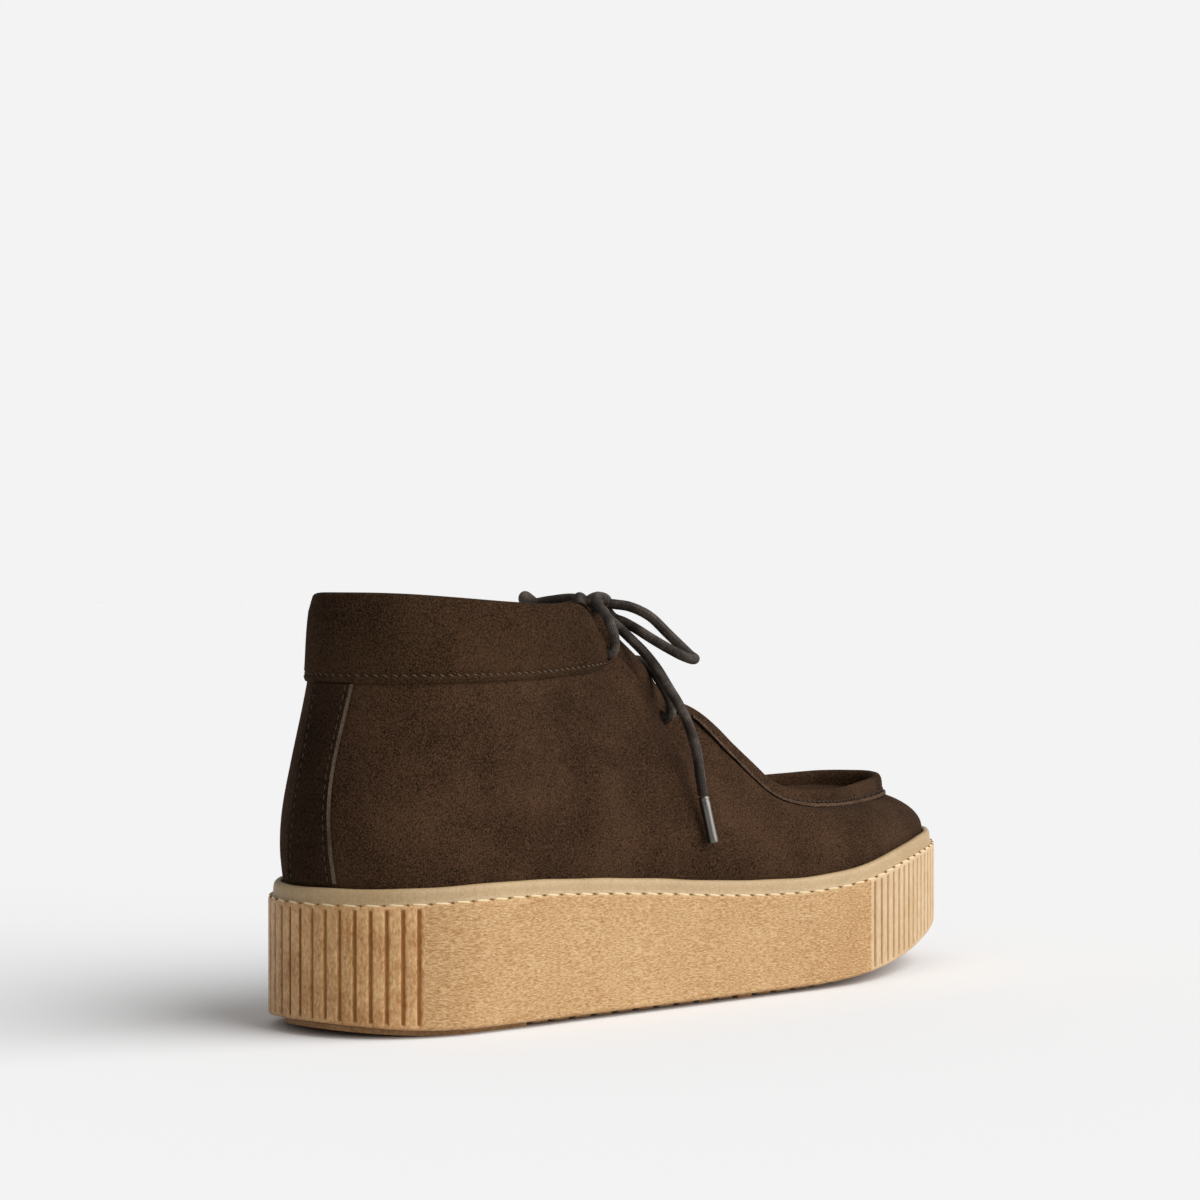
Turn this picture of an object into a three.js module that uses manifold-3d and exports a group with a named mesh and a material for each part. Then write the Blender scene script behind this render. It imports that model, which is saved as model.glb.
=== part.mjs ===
// Right chukka boot with a moccasin toe on a thick ribbed crepe sole.
// Millimetres, +X to the toe, +Y to the inner (medial) side, +Z up.
// The origin is on the floor under the middle of the heel.
import * as THREE from 'three';
import { mergeVertices } from 'three/addons/utils/BufferGeometryUtils.js';
import Module from 'manifold-3d';

const wasm = await Module();
wasm.setup();

// Main sizes of the shoe
const LENGTH = 300;
const BALL_WIDTH = 100;
const HEEL_CENTRE = 40;
const GAP = 0.3;

// Sole
const OUTSOLE_THICKNESS = 1.6;
const OUTSOLE_INSET = 5;
const OUTSOLE_EDGE = 0.5;
const SOLE_HEIGHT = 40;
const HEEL_SPRING = 2.6;
const HEEL_SPRING_LENGTH = 35;
const TOE_SPRING = 17;
const TOE_SPRING_START = 174;
const WALL_EDGE = 0.9;
const TREAD_PITCH = 9;
const TREAD_WIDTH = 2.4;
const TREAD_DEPTH = 1.1;
const TREAD_FROM = 62;
const TREAD_TO = 225;
// The shoe rests on its plain heel and on the tread bar after this groove. The other bars lie higher.
const REST_GROOVE = 10;
const REST_RISE = 0.5;

// Ribs of the sole's side
const RIB_PITCH = 4.86;
const RIB_GROOVE_WIDTH = 1.4;
const RIB_GROOVE_DEPTH = 0.9;
const RIB_MARGIN_LOW = 1.3;
const RIB_MARGIN_TOP = 1.4;
const HEEL_RIBS_PER_SIDE = 8;
const TOE_RIBS_FROM = 214;

// Band round the foot of the upper
const BAND_INSET = 1.5;
const BAND_THICKNESS = 2.6;
const BAND_HEIGHT = 4.6;
const BAND_LEAN = 0.1;

// Upper, insole and overlays
const UPPER_WALL = 2.2;
const COLLAR_RISE = 88.6;
const INSOLE_THICKNESS = 3.4;
const INSOLE_EDGE = 0.6;
const CUFF_HEIGHT = 24;
const CUFF_LINING_HEIGHT = 16;
const CUFF_THICKNESS = 1.2;
const CUFF_PADDING = 0.6;
const CUFF_FRONT_RISE = 3.5;
const BACK_STRIP_SHARE = 0.034;
const BACK_STRIP_WAIST = 0.25;
const BACK_STRIP_THICKNESS = 1.1;
const TONGUE_THICKNESS = 2.4;
const TONGUE_SLOPE = Math.PI / 5;
const TONGUE_ARCH = 2.4;
const APRON_THICKNESS = 2.2;
const APRON_RIM_HEIGHT = 7.4;
const APRON_RIM_FALL = 0.3;
const APRON_RIM_THICKNESS = 4.2;
const APRON_RIM_OVERHANG = 0.5;
const APRON_RIM_LEAN = 0.7;
const APRON_SINK = 4.5;
const APRON_ROOT = 1.5;
const APRON_LEAD = 6;
const APRON_ARCH = 1.6;

// Laces
const LACE_DIAMETER = 3.3;
const EYELET_DIAMETER = 4.6;
const AGLET_DIAMETER = 4;
const AGLET_LENGTH = 15;

// How finely the round shapes are divided
const SIDE_STEPS = 38;
const SOLE_STEPS = 44;
const OUTSOLE_STEPS = 28;
const INSOLE_STEPS = 24;
const CUFF_END_STEP = 16;
const STRIP_STEPS = 8;
const APRON_START_STEP = 21;
const LACE_SIDES = 8;

// Outline of the sole's wall. at: share of LENGTH from the heel's back.
// outer and inner: reach to each side, shares of BALL_WIDTH.
const OUTLINE = [
  { at: 0.007, outer: 0.125, inner: 0.125 },
  { at: 0.028, outer: 0.236, inner: 0.236 },
  { at: 0.063, outer: 0.322, inner: 0.322 },
  { at: 0.109, outer: 0.375, inner: 0.372 },
  { at: 0.167, outer: 0.396, inner: 0.39 },
  { at: 0.267, outer: 0.413, inner: 0.392 },
  { at: 0.367, outer: 0.432, inner: 0.392 },
  { at: 0.467, outer: 0.449, inner: 0.412 },
  { at: 0.567, outer: 0.466, inner: 0.455 },
  { at: 0.64, outer: 0.482, inner: 0.492 },
  { at: 0.71, outer: 0.478, inner: 0.51 },
  { at: 0.785, outer: 0.428, inner: 0.5 },
  { at: 0.86, outer: 0.348, inner: 0.452 },
  { at: 0.927, outer: 0.25, inner: 0.36 },
  { at: 0.973, outer: 0.125, inner: 0.245 },
];
const TOE_TIP = { at: 1, side: 0.08 };

// Top of the sole's wall. at: share of LENGTH, rise: share of SOLE_HEIGHT.
const WALL_TOP = [
  { at: 0, rise: 0.988 },
  { at: 0.2, rise: 1 },
  { at: 0.36, rise: 0.935 },
  { at: 0.5, rise: 0.85 },
  { at: 0.61, rise: 0.825 },
  { at: 0.71, rise: 0.872 },
  { at: 0.785, rise: 0.952 },
  { at: 0.87, rise: 1.018 },
  { at: 0.95, rise: 1.05 },
  { at: 1, rise: 1.06 },
];

// Top line of the upper: collar, throat and moccasin seam.
// at: share of the way from the heel's back to the toe tip. reach: share of LENGTH.
// outer and inner: shares of BALL_WIDTH, and side where the two meet at the toe.
// rise: share of COLLAR_RISE over SOLE_HEIGHT.
const TOP_LINE = [
  { at: 0, reach: 0.05, outer: 0, inner: 0, rise: 1.02 },
  { at: 0.06, reach: 0.063, outer: 0.135, inner: 0.135, rise: 1.019 },
  { at: 0.12, reach: 0.091, outer: 0.222, inner: 0.222, rise: 1.014 },
  { at: 0.18, reach: 0.136, outer: 0.272, inner: 0.272, rise: 1.003 },
  { at: 0.25, reach: 0.207, outer: 0.292, inner: 0.292, rise: 0.987 },
  { at: 0.31, reach: 0.271, outer: 0.272, inner: 0.272, rise: 0.98 },
  { at: 0.355, reach: 0.315, outer: 0.245, inner: 0.245, rise: 0.982 },
  { at: 0.385, reach: 0.339, outer: 0.226, inner: 0.226, rise: 0.952 },
  { at: 0.42, reach: 0.36, outer: 0.214, inner: 0.214, rise: 0.873 },
  { at: 0.45, reach: 0.382, outer: 0.205, inner: 0.205, rise: 0.835 },
  { at: 0.49, reach: 0.42, outer: 0.2, inner: 0.2, rise: 0.742 },
  { at: 0.53, reach: 0.465, outer: 0.196, inner: 0.196, rise: 0.606 },
  { at: 0.565, reach: 0.517, outer: 0.194, inner: 0.194, rise: 0.562 },
  { at: 0.6, reach: 0.558, outer: 0.247, inner: 0.247, rise: 0.425 },
  { at: 0.64, reach: 0.603, outer: 0.302, inner: 0.304, rise: 0.28 },
  { at: 0.69, reach: 0.65, outer: 0.32, inner: 0.33, rise: 0.226 },
  { at: 0.75, reach: 0.713, outer: 0.305, inner: 0.342, rise: 0.208 },
  { at: 0.82, reach: 0.79, outer: 0.235, inner: 0.33, rise: 0.205 },
  { at: 0.88, reach: 0.853, outer: 0.163, inner: 0.29, rise: 0.21 },
  { at: 0.94, reach: 0.902, outer: 0.07, inner: 0.205, rise: 0.216 },
  { at: 1, reach: 0.925, side: 0.06, rise: 0.22 },
];

// Swelling of the upper's wall. at: as in TOP_LINE. belly and shoulder: how far the wall swells
// low down and near its top, in shares of BALL_WIDTH. low and high: how far up and down those
// two swellings act, shares of the wall's height.
const WALL_BEND = [
  { at: 0, belly: 0.05, shoulder: -0.012, low: 0.38, high: 0.42 },
  { at: 0.06, belly: 0.045, shoulder: -0.01, low: 0.38, high: 0.42 },
  { at: 0.12, belly: 0.03, shoulder: 0, low: 0.36, high: 0.42 },
  { at: 0.18, belly: 0.02, shoulder: 0, low: 0.34, high: 0.42 },
  { at: 0.25, belly: 0.02, shoulder: 0, low: 0.34, high: 0.42 },
  { at: 0.31, belly: 0.02, shoulder: 0.01, low: 0.34, high: 0.42 },
  { at: 0.355, belly: 0.02, shoulder: 0.015, low: 0.34, high: 0.4 },
  { at: 0.385, belly: 0.02, shoulder: 0.02, low: 0.34, high: 0.4 },
  { at: 0.42, belly: 0.02, shoulder: 0.03, low: 0.34, high: 0.4 },
  { at: 0.45, belly: 0.02, shoulder: 0.04, low: 0.34, high: 0.38 },
  { at: 0.49, belly: 0.02, shoulder: 0.05, low: 0.34, high: 0.36 },
  { at: 0.53, belly: 0.02, shoulder: 0.06, low: 0.36, high: 0.34 },
  { at: 0.565, belly: 0.02, shoulder: 0.06, low: 0.38, high: 0.3 },
  { at: 0.6, belly: 0.02, shoulder: 0.06, low: 0.4, high: 0.22 },
  { at: 0.64, belly: 0.02, shoulder: 0.06, low: 0.45, high: 0.1 },
  { at: 0.69, belly: 0.02, shoulder: 0.07, low: 0.5, high: 0.02 },
  { at: 0.75, belly: 0.015, shoulder: 0.07, low: 0.55, high: 0 },
  { at: 0.82, belly: 0.01, shoulder: 0.065, low: 0.6, high: 0 },
  { at: 0.88, belly: 0.005, shoulder: 0.058, low: 0.6, high: 0.02 },
  { at: 0.94, belly: 0, shoulder: 0.048, low: 0.55, high: 0.03 },
  { at: 1, belly: 0, shoulder: 0.048, low: 0.55, high: 0.03 },
];

// Crest of tongue and apron on the shoe's middle line. reach: share of LENGTH,
// rise: share of COLLAR_RISE over SOLE_HEIGHT.
const CREST = [
  { reach: 0.4, rise: 1.0 },
  { reach: 0.417, rise: 0.965 },
  { reach: 0.433, rise: 0.915 },
  { reach: 0.462, rise: 0.848 },
  { reach: 0.489, rise: 0.782 },
  { reach: 0.527, rise: 0.674 },
  { reach: 0.567, rise: 0.565 },
  { reach: 0.603, rise: 0.48 },
  { reach: 0.637, rise: 0.4 },
  { reach: 0.673, rise: 0.33 },
  { reach: 0.707, rise: 0.282 },
  { reach: 0.74, rise: 0.25 },
  { reach: 0.783, rise: 0.23 },
  { reach: 0.833, rise: 0.22 },
  { reach: 0.89, rise: 0.22 },
];

// Tongue. half: half width in shares of BALL_WIDTH. drop: fall of its sides under the crest, share
// of COLLAR_RISE. under: how far it has gone down beneath the apron, 0 to 1.
const TONGUE = [
  { reach: 0.402, half: 0.168, drop: 0.27, under: 0 },
  { reach: 0.425, half: 0.174, drop: 0.32, under: 0.1 },
  { reach: 0.45, half: 0.176, drop: 0.33, under: 0.2 },
  { reach: 0.475, half: 0.176, drop: 0.32, under: 0.4 },
  { reach: 0.5, half: 0.172, drop: 0.32, under: 0.95 },
  { reach: 0.525, half: 0.158, drop: 0.28, under: 1.2 },
  { reach: 0.55, half: 0.15, drop: 0.22, under: 1.3 },
];

// Eyelets on each side, as shares round the shoe and up the wall
const EYELETS = [
  { around: 0.44, up: 0.965 },
  { around: 0.53, up: 0.95 },
];

// Steps round the shoe at which the apron has a section
const APRON_STEPS = [21, 22, 23, 25, 27, 29, 31, 33, 35, 36, 37];

// Routes of the lace in millimetres in the boot's own frame, from eyelet or knot outwards
const LACE_BAR_HALF = [
  [99.4, -19.7, 90.2], [100.2, -22.8, 91.5], [101, -22.4, 95], [103, -17.5, 100.3],
  [105.6, -10.5, 105.4], [107.8, -4.5, 108.1],
];
const LACE_BAR = [...LACE_BAR_HALF, [108.7, 0, 108.9], ...mirrored(LACE_BAR_HALF).reverse()];
const LACE_LEG = [
  [71.9, -20.2, 112], [72.5, -23.2, 112.8], [73.1, -23.3, 116.3], [75.8, -18.8, 121.3],
  [79.8, -12.4, 125.2], [82.8, -7.6, 126.6], [85.4, -3.8, 127.8],
];
const LACE_LOOP_OUTER = [
  [91, -1.5, 127.9], [93.4, -5, 127.5], [96.6, -8.5, 126.7], [100.9, -13, 123.7], [105.7, -17, 117.8],
  [108.7, -20, 113.7], [110, -22.8, 110.9], [108.1, -26.4, 109.9], [103.5, -28.8, 109.9],
  [99.6, -28, 111.2], [97, -24.5, 113.5], [94.9, -19, 116.7], [94.8, -13, 119.5], [95.2, -6.8, 121.8],
  [94.4, -3, 123.2], [92.5, -1.5, 126],
];
const LACE_LOOP_INNER = [
  [86.7, 4, 129.2], [86, 9.5, 129.4], [83.6, 16, 128.6], [81, 21.5, 127.8], [80.6, 24.6, 129],
  [82.4, 25.6, 130.2], [84.6, 24.2, 128.4], [86.4, 20, 124.6], [88.2, 14, 122],
  [88.7, 8.6, 122.5], [88.5, 5.8, 124.4], [88.3, 3.4, 126.4],
];
const LACE_END_OUTER = [
  [89.2, -2.2, 126.2], [89.5, -5.4, 123], [90.8, -8.5, 120.2], [92, -13, 116.3], [93.2, -17.5, 112.2],
  [94.4, -22, 107.1], [95.3, -26.5, 100.7], [96.1, -30, 95.6], [96.6, -33.5, 89.6], [96.8, -36.5, 82.6],
  [96.6, -38, 77.9], [96.3, -39.2, 72.2], [96.6, -40.2, 66.5],
];
const LACE_END_INNER = [
  [91, 2, 126.2], [93, 5.2, 122.4], [94.7, 10, 118.3], [95, 16, 113], [94.6, 22, 106], [94.2, 27, 98.5],
  [93.8, 31, 90], [93.4, 34, 81], [93.3, 36, 72], [93.7, 37.2, 65],
];
const AGLET_OUTER_END = [98.4, -42.4, 53.2];
const AGLET_INNER_END = [95.5, 39.4, 51.5];
const KNOT_LUMPS = [
  { centre: [89.6, -0.5, 128.1], radii: [4.6, 4.2, 3.4] },
  { centre: [85.8, 3, 128.3], radii: [3, 3, 2.9] },
];

// Smooth value between the rows of a table, with cubic pieces
function smoothAt(rows, along, key, where) {
  const last = rows.length - 1;
  const x = Math.min(Math.max(where, rows[0][along]), rows[last][along]);
  let i = 0;
  while (i < last - 1 && rows[i + 1][along] < x) i += 1;
  const slope = (k) => {
    const a = rows[Math.max(k - 1, 0)];
    const b = rows[Math.min(k + 1, last)];
    return (b[key] - a[key]) / (b[along] - a[along]);
  };
  const span = rows[i + 1][along] - rows[i][along];
  const s = (x - rows[i][along]) / span;
  const h00 = (1 + 2 * s) * (1 - s) * (1 - s);
  const h10 = s * (1 - s) * (1 - s);
  const h01 = s * s * (3 - 2 * s);
  const h11 = s * s * (s - 1);
  return h00 * rows[i][key] + h10 * span * slope(i) + h01 * rows[i + 1][key] + h11 * span * slope(i + 1);
}

// Height of the sole's underside over the floor, and of its wall's top
function groundLift(x) {
  const back = Math.max(0, HEEL_SPRING_LENGTH - x) / HEEL_SPRING_LENGTH;
  const front = Math.max(0, x - TOE_SPRING_START) / (LENGTH - TOE_SPRING_START);
  return HEEL_SPRING * back * back + TOE_SPRING * front * front;
}

function wallTop(x) {
  return SOLE_HEIGHT * smoothAt(WALL_TOP, 'at', 'rise', x / LENGTH);
}

// The outline as two halves of even steps from the heel's back to the toe tip
function outlineHalves() {
  const toPoint = (row, side) => new THREE.Vector3(row.at * LENGTH, side * BALL_WIDTH, 0);
  const outer = OUTLINE.map((row) => toPoint(row, -row.outer));
  const inner = OUTLINE.map((row) => toPoint(row, row.inner)).reverse();
  const tip = toPoint(TOE_TIP, TOE_TIP.side);
  const points = [new THREE.Vector3(0, 0, 0), ...outer, tip, ...inner];
  const curve = new THREE.CatmullRomCurve3(points, true, 'centripetal');
  const perPiece = 24;
  const dense = curve.getPoints(points.length * perPiece);
  const tipIndex = (outer.length + 1) * perPiece;
  return { outer: dense.slice(0, tipIndex + 1), inner: dense.slice(tipIndex).reverse() };
}

// Point and outward direction at a share of a half outline
function makeTracer(path) {
  const lengths = [0];
  for (let i = 1; i < path.length; i += 1) lengths.push(lengths[i - 1] + path[i].distanceTo(path[i - 1]));
  const total = lengths[lengths.length - 1];
  const pointAt = (distance) => {
    const d = Math.min(Math.max(distance, 0), total);
    let i = 1;
    while (i < path.length - 1 && lengths[i] < d) i += 1;
    const s = (d - lengths[i - 1]) / (lengths[i] - lengths[i - 1]);
    return path[i - 1].clone().lerp(path[i], s);
  };
  return { total, pointAt };
}

const HALVES = outlineHalves();
const TRACE = { outer: makeTracer(HALVES.outer), inner: makeTracer(HALVES.inner) };

// Brings a share round the shoe back between -1 and 1
function wrap(u) {
  if (u > 1) return u - 2;
  return u < -1 ? u + 2 : u;
}

// u runs from -1 (toe tip) along the inner side to 0 (heel) and along the outer side to 1 (toe tip)
function edgePoint(u) {
  const trace = u < 0 ? TRACE.inner : TRACE.outer;
  return trace.pointAt(Math.abs(u) * trace.total);
}

function edgeNormal(u) {
  const step = 0.006;
  const tangent = edgePoint(wrap(u + step)).sub(edgePoint(wrap(u - step))).normalize();
  return new THREE.Vector3(tangent.y, -tangent.x, 0);
}

function insetPoint(u, inset) {
  return edgePoint(u).addScaledVector(edgeNormal(u), -inset);
}

// Shares u of one full turn round the shoe
function aroundShares(stepsPerSide) {
  const shares = [];
  for (let i = 0; i < 2 * stepsPerSide; i += 1) {
    const u = i / stepsPerSide;
    shares.push(u <= 1 ? u : u - 2);
  }
  return shares;
}

// Geometry from points and triangles, moved so that the origin is under the heel's middle
function toGeometry(points, faces) {
  const geometry = new THREE.BufferGeometry();
  const flat = points.flatMap((p) => [p.x - HEEL_CENTRE, p.y, p.z]);
  geometry.setAttribute('position', new THREE.Float32BufferAttribute(flat, 3));
  geometry.setIndex(faces.flat());
  return outwards(geometry);
}

// Turns the faces round where the enclosed volume comes out negative
function outwards(geometry) {
  const p = geometry.getAttribute('position');
  const index = geometry.getIndex();
  const corner = (k) => new THREE.Vector3().fromBufferAttribute(p, index.getX(k));
  let volume = 0;
  for (let i = 0; i < index.count; i += 3) volume += corner(i).dot(corner(i + 1).cross(corner(i + 2)));
  if (volume < 0) {
    for (let i = 0; i < index.count; i += 3) {
      const swap = index.getX(i);
      index.setX(i, index.getX(i + 1));
      index.setX(i + 1, swap);
    }
  }
  return geometry;
}

// Slab between stacked rings, closed below and above by bars from side to side
function slab(rings) {
  const n = rings[0].length;
  const faces = [];
  for (let r = 0; r < rings.length - 1; r += 1) {
    for (let i = 0; i < n; i += 1) {
      const j = (i + 1) % n;
      const a = r * n + i;
      const b = r * n + j;
      faces.push([a, b, b + n], [a, b + n, a + n]);
    }
  }
  const cover = (base, flip) => {
    for (let i = 0; i < n / 2; i += 1) {
      const a = base + i;
      const b = base + i + 1;
      const c = base + ((n - i) % n);
      const d = base + n - i - 1;
      if (i > 0) faces.push(flip ? [a, b, c] : [a, c, b]);
      if (b !== d) faces.push(flip ? [b, d, c] : [b, c, d]);
    }
  };
  cover(0, false);
  cover((rings.length - 1) * n, true);
  return toGeometry(rings.flat(), faces);
}

// Sheet between a front and a back row of points in each section
function sheet(front, back, closed) {
  const sections = front.length;
  const k = front[0].length;
  const size = 2 * k;
  const faces = [];
  const count = closed ? sections : sections - 1;
  for (let s = 0; s < count; s += 1) {
    const t = (s + 1) % sections;
    for (let i = 0; i < size; i += 1) {
      const j = (i + 1) % size;
      faces.push([s * size + i, t * size + i, t * size + j], [s * size + i, t * size + j, s * size + j]);
    }
  }
  if (!closed) {
    const cap = (base, flip) => {
      for (let i = 0; i < k - 1; i += 1) {
        const a = base + i;
        const b = base + i + 1;
        const c = base + size - 1 - i;
        const d = base + size - 2 - i;
        faces.push(flip ? [a, c, b] : [a, b, c]);
        faces.push(flip ? [b, c, d] : [b, d, c]);
      }
    };
    cap(0, false);
    cap((sections - 1) * size, true);
  }
  const points = front.flatMap((row, s) => [...row, ...back[s].slice().reverse()]);
  return toGeometry(points, faces);
}

function ring(shares, inset, height) {
  return shares.map((u) => {
    const p = insetPoint(u, inset);
    return p.setZ(height(p.x));
  });
}

// Joining and cutting
function toSolid(geometry) {
  const clean = geometry.clone();
  clean.deleteAttribute('normal');
  clean.deleteAttribute('uv');
  const merged = mergeVertices(clean, 1e-4);
  return new wasm.Manifold(new wasm.Mesh({
    numProp: 3,
    vertProperties: new Float32Array(merged.getAttribute('position').array),
    triVerts: new Uint32Array(merged.getIndex().array),
  }));
}

function fromSolid(solid) {
  const mesh = solid.getMesh();
  const geometry = new THREE.BufferGeometry();
  geometry.setAttribute('position', new THREE.Float32BufferAttribute(mesh.vertProperties, 3));
  geometry.setIndex(Array.from(mesh.triVerts));
  return geometry;
}

function cutAll(geometry, cutters) {
  return fromSolid(cutters.reduce((left, cutter) => left.subtract(toSolid(cutter)), toSolid(geometry)));
}

function joinAll(geometries) {
  const [first, ...others] = geometries.map(toSolid);
  return fromSolid(others.reduce((sum, next) => sum.add(next), first));
}

// Sole pieces
function makeOutsole(shares) {
  const sheetOver = (rise) => slab([
    ring(shares, OUTSOLE_INSET + OUTSOLE_EDGE, (x) => groundLift(x) + rise),
    ring(shares, OUTSOLE_INSET, (x) => groundLift(x) + rise + OUTSOLE_EDGE),
    ring(shares, OUTSOLE_INSET, (x) => groundLift(x) + OUTSOLE_THICKNESS),
  ]);
  const between = (from, to) => {
    const box = new THREE.BoxGeometry(to - from, 2 * BALL_WIDTH, 4 * TOE_SPRING);
    return box.translate((from + to) / 2 - HEEL_CENTRE, 0, 0);
  };
  const restFrom = TREAD_FROM + REST_GROOVE * TREAD_PITCH;
  const rests = cutAll(sheetOver(0), [between(TREAD_FROM, restFrom), between(restFrom + TREAD_PITCH, LENGTH)]);
  const cutters = [];
  for (let x = TREAD_FROM; x < TREAD_TO; x += TREAD_PITCH) {
    const groove = new THREE.BoxGeometry(TREAD_WIDTH, 2 * BALL_WIDTH, 2 * TREAD_DEPTH);
    groove.translate(x - HEEL_CENTRE, 0, groundLift(x));
    cutters.push(groove);
  }
  return cutAll(joinAll([sheetOver(REST_RISE), rests]), cutters);
}

function ribShares() {
  const shares = [0];
  for (const side of [-1, 1]) {
    const total = side < 0 ? TRACE.inner.total : TRACE.outer.total;
    for (let i = 1; i <= HEEL_RIBS_PER_SIDE; i += 1) shares.push((side * i * RIB_PITCH) / total);
    for (let d = side < 0 ? 0.5 : 0; d * RIB_PITCH < total; d += 1) {
      const u = side * (1 - (d * RIB_PITCH) / total);
      if (edgePoint(u).x < TOE_RIBS_FROM) break;
      shares.push(u);
    }
  }
  return shares;
}

function makeMidsole(shares) {
  const low = (x) => groundLift(x) + OUTSOLE_THICKNESS + GAP;
  const rings = [
    ring(shares, WALL_EDGE, low),
    ring(shares, 0, (x) => low(x) + WALL_EDGE),
    ring(shares, 0, (x) => wallTop(x) - WALL_EDGE),
    ring(shares, WALL_EDGE * 0.6, (x) => wallTop(x) - WALL_EDGE * 0.25),
    ring(shares, WALL_EDGE * 1.6, wallTop),
  ];
  const cutters = ribShares().map((u) => {
    const p = edgePoint(u);
    const n = edgeNormal(u);
    const bottom = low(p.x) + RIB_MARGIN_LOW;
    const top = wallTop(p.x) - RIB_MARGIN_TOP;
    const groove = new THREE.BoxGeometry(2 * RIB_GROOVE_DEPTH, RIB_GROOVE_WIDTH, top - bottom);
    groove.rotateZ(Math.atan2(n.y, n.x));
    return groove.translate(p.x - HEEL_CENTRE, p.y, (top + bottom) / 2);
  });
  return cutAll(slab(rings), cutters);
}

function makeBand(shares) {
  const at = (u, inset, rise) => {
    const p = insetPoint(u, inset);
    return p.setZ(wallTop(p.x) + rise);
  };
  const back = BAND_INSET + BAND_THICKNESS;
  const front = shares.map((u) => [
    at(u, BAND_INSET + BAND_LEAN, GAP),
    at(u, BAND_INSET, BAND_HEIGHT * 0.6),
    at(u, BAND_INSET + BAND_THICKNESS * 0.3, BAND_HEIGHT * 0.9),
  ]);
  const rear = shares.map((u) => [
    at(u, back, GAP),
    at(u, back, BAND_HEIGHT * 0.75),
    at(u, BAND_INSET + BAND_THICKNESS * 0.7, BAND_HEIGHT),
  ]);
  return sheet(front, rear, true);
}

// Tables of the top line and the wall's bend, carried round the whole shoe and past the toe tip
const UPPER_INSET = BAND_INSET + BAND_THICKNESS + GAP;
const LAST_ROW = TOP_LINE.length - 1;
const INNER_LINE = TOP_LINE.slice(1).reverse().map((row) => ({ ...row, at: -row.at, y: row.inner }));
const OUTER_LINE = TOP_LINE.map((row) => ({ ...row, y: -row.outer }));
const TIP = TOP_LINE[LAST_ROW];
INNER_LINE[0].y = TIP.side;
OUTER_LINE[LAST_ROW].y = TIP.side;
const FULL_TOP_LINE = [
  { ...OUTER_LINE[LAST_ROW - 1], at: OUTER_LINE[LAST_ROW - 1].at - 2 },
  ...INNER_LINE,
  ...OUTER_LINE,
  { ...INNER_LINE[1], at: INNER_LINE[1].at + 2 },
];
const FULL_WALL_BEND = [
  ...WALL_BEND.slice(1).reverse().map((row) => ({ ...row, at: -row.at })),
  ...WALL_BEND,
];
const FOOT_SHARE = 0.08;

function topPoint(u) {
  const value = (key) => smoothAt(FULL_TOP_LINE, 'at', key, u);
  const rise = SOLE_HEIGHT + COLLAR_RISE * value('rise');
  return new THREE.Vector3(value('reach') * LENGTH, value('y') * BALL_WIDTH, rise);
}

function bendAt(u) {
  const value = (key) => smoothAt(FULL_WALL_BEND, 'at', key, u);
  return { belly: value('belly'), shoulder: value('shoulder'), low: value('low'), high: value('high') };
}

// Upper's own function: outside point at share u round the shoe and share v up its wall
function upperPoint(u, v) {
  const normal = edgeNormal(u);
  const foot = insetPoint(u, UPPER_INSET);
  const base = wallTop(foot.x) + GAP;
  if (v <= FOOT_SHARE) return foot.setZ(base + (v / FOOT_SHARE) * BAND_HEIGHT);
  const start = foot.setZ(base + BAND_HEIGHT);
  const end = topPoint(u);
  const bend = bendAt(u);
  const height = end.z - start.z;
  const first = start.clone().addScaledVector(normal, bend.belly * BALL_WIDTH);
  first.z += height * bend.low;
  const second = end.clone().addScaledVector(normal, bend.shoulder * BALL_WIDTH);
  second.z -= height * bend.high;
  const s = (v - FOOT_SHARE) / (1 - FOOT_SHARE);
  return new THREE.CubicBezierCurve3(start, first, second, end).getPoint(s);
}

function upperNormal(u, v) {
  const du = 0.008;
  const dv = 0.02;
  const along = upperPoint(wrap(u + du), v).sub(upperPoint(wrap(u - du), v));
  const up = upperPoint(u, Math.min(v + dv, 1)).sub(upperPoint(u, Math.max(v - dv, 0)));
  const normal = along.cross(up).normalize();
  return normal.dot(edgeNormal(u)) < -0.2 ? normal.negate() : normal;
}

function skinPoint(u, v, offset) {
  return upperPoint(u, v).addScaledVector(upperNormal(u, v), offset);
}

// Share v at which the wall reaches a height
function shareAtHeight(u, height) {
  let low = FOOT_SHARE;
  let high = 1;
  for (let i = 0; i < 30; i += 1) {
    const mid = (low + high) / 2;
    if (upperPoint(u, mid).z < height) low = mid;
    else high = mid;
  }
  return (low + high) / 2;
}

const WALL_SHARES = [0, FOOT_SHARE, 0.19, 0.32, 0.46, 0.6, 0.74, 0.87, 1];

function makeUpper(shares) {
  const front = shares.map((u) => WALL_SHARES.map((v) => upperPoint(u, v)));
  const back = shares.map((u) => WALL_SHARES.map((v) => {
    if (v <= FOOT_SHARE) return insetPoint(u, UPPER_INSET + UPPER_WALL).setZ(upperPoint(u, v).z);
    return skinPoint(u, v, -UPPER_WALL);
  }));
  return sheet(front, back, true);
}

function makeInsole(shares) {
  const inset = UPPER_INSET + UPPER_WALL + GAP;
  return slab([
    ring(shares, inset, (x) => wallTop(x) + GAP),
    ring(shares, inset, (x) => wallTop(x) + INSOLE_THICKNESS - INSOLE_EDGE),
    ring(shares, inset + INSOLE_EDGE, (x) => wallTop(x) + INSOLE_THICKNESS),
  ]);
}

// Cuff folded over the collar's rim
function cuffFoot(u) {
  const forward = Math.abs(u) * SIDE_STEPS / CUFF_END_STEP;
  return SOLE_HEIGHT + COLLAR_RISE - CUFF_HEIGHT + CUFF_FRONT_RISE * forward ** 4;
}

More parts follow.
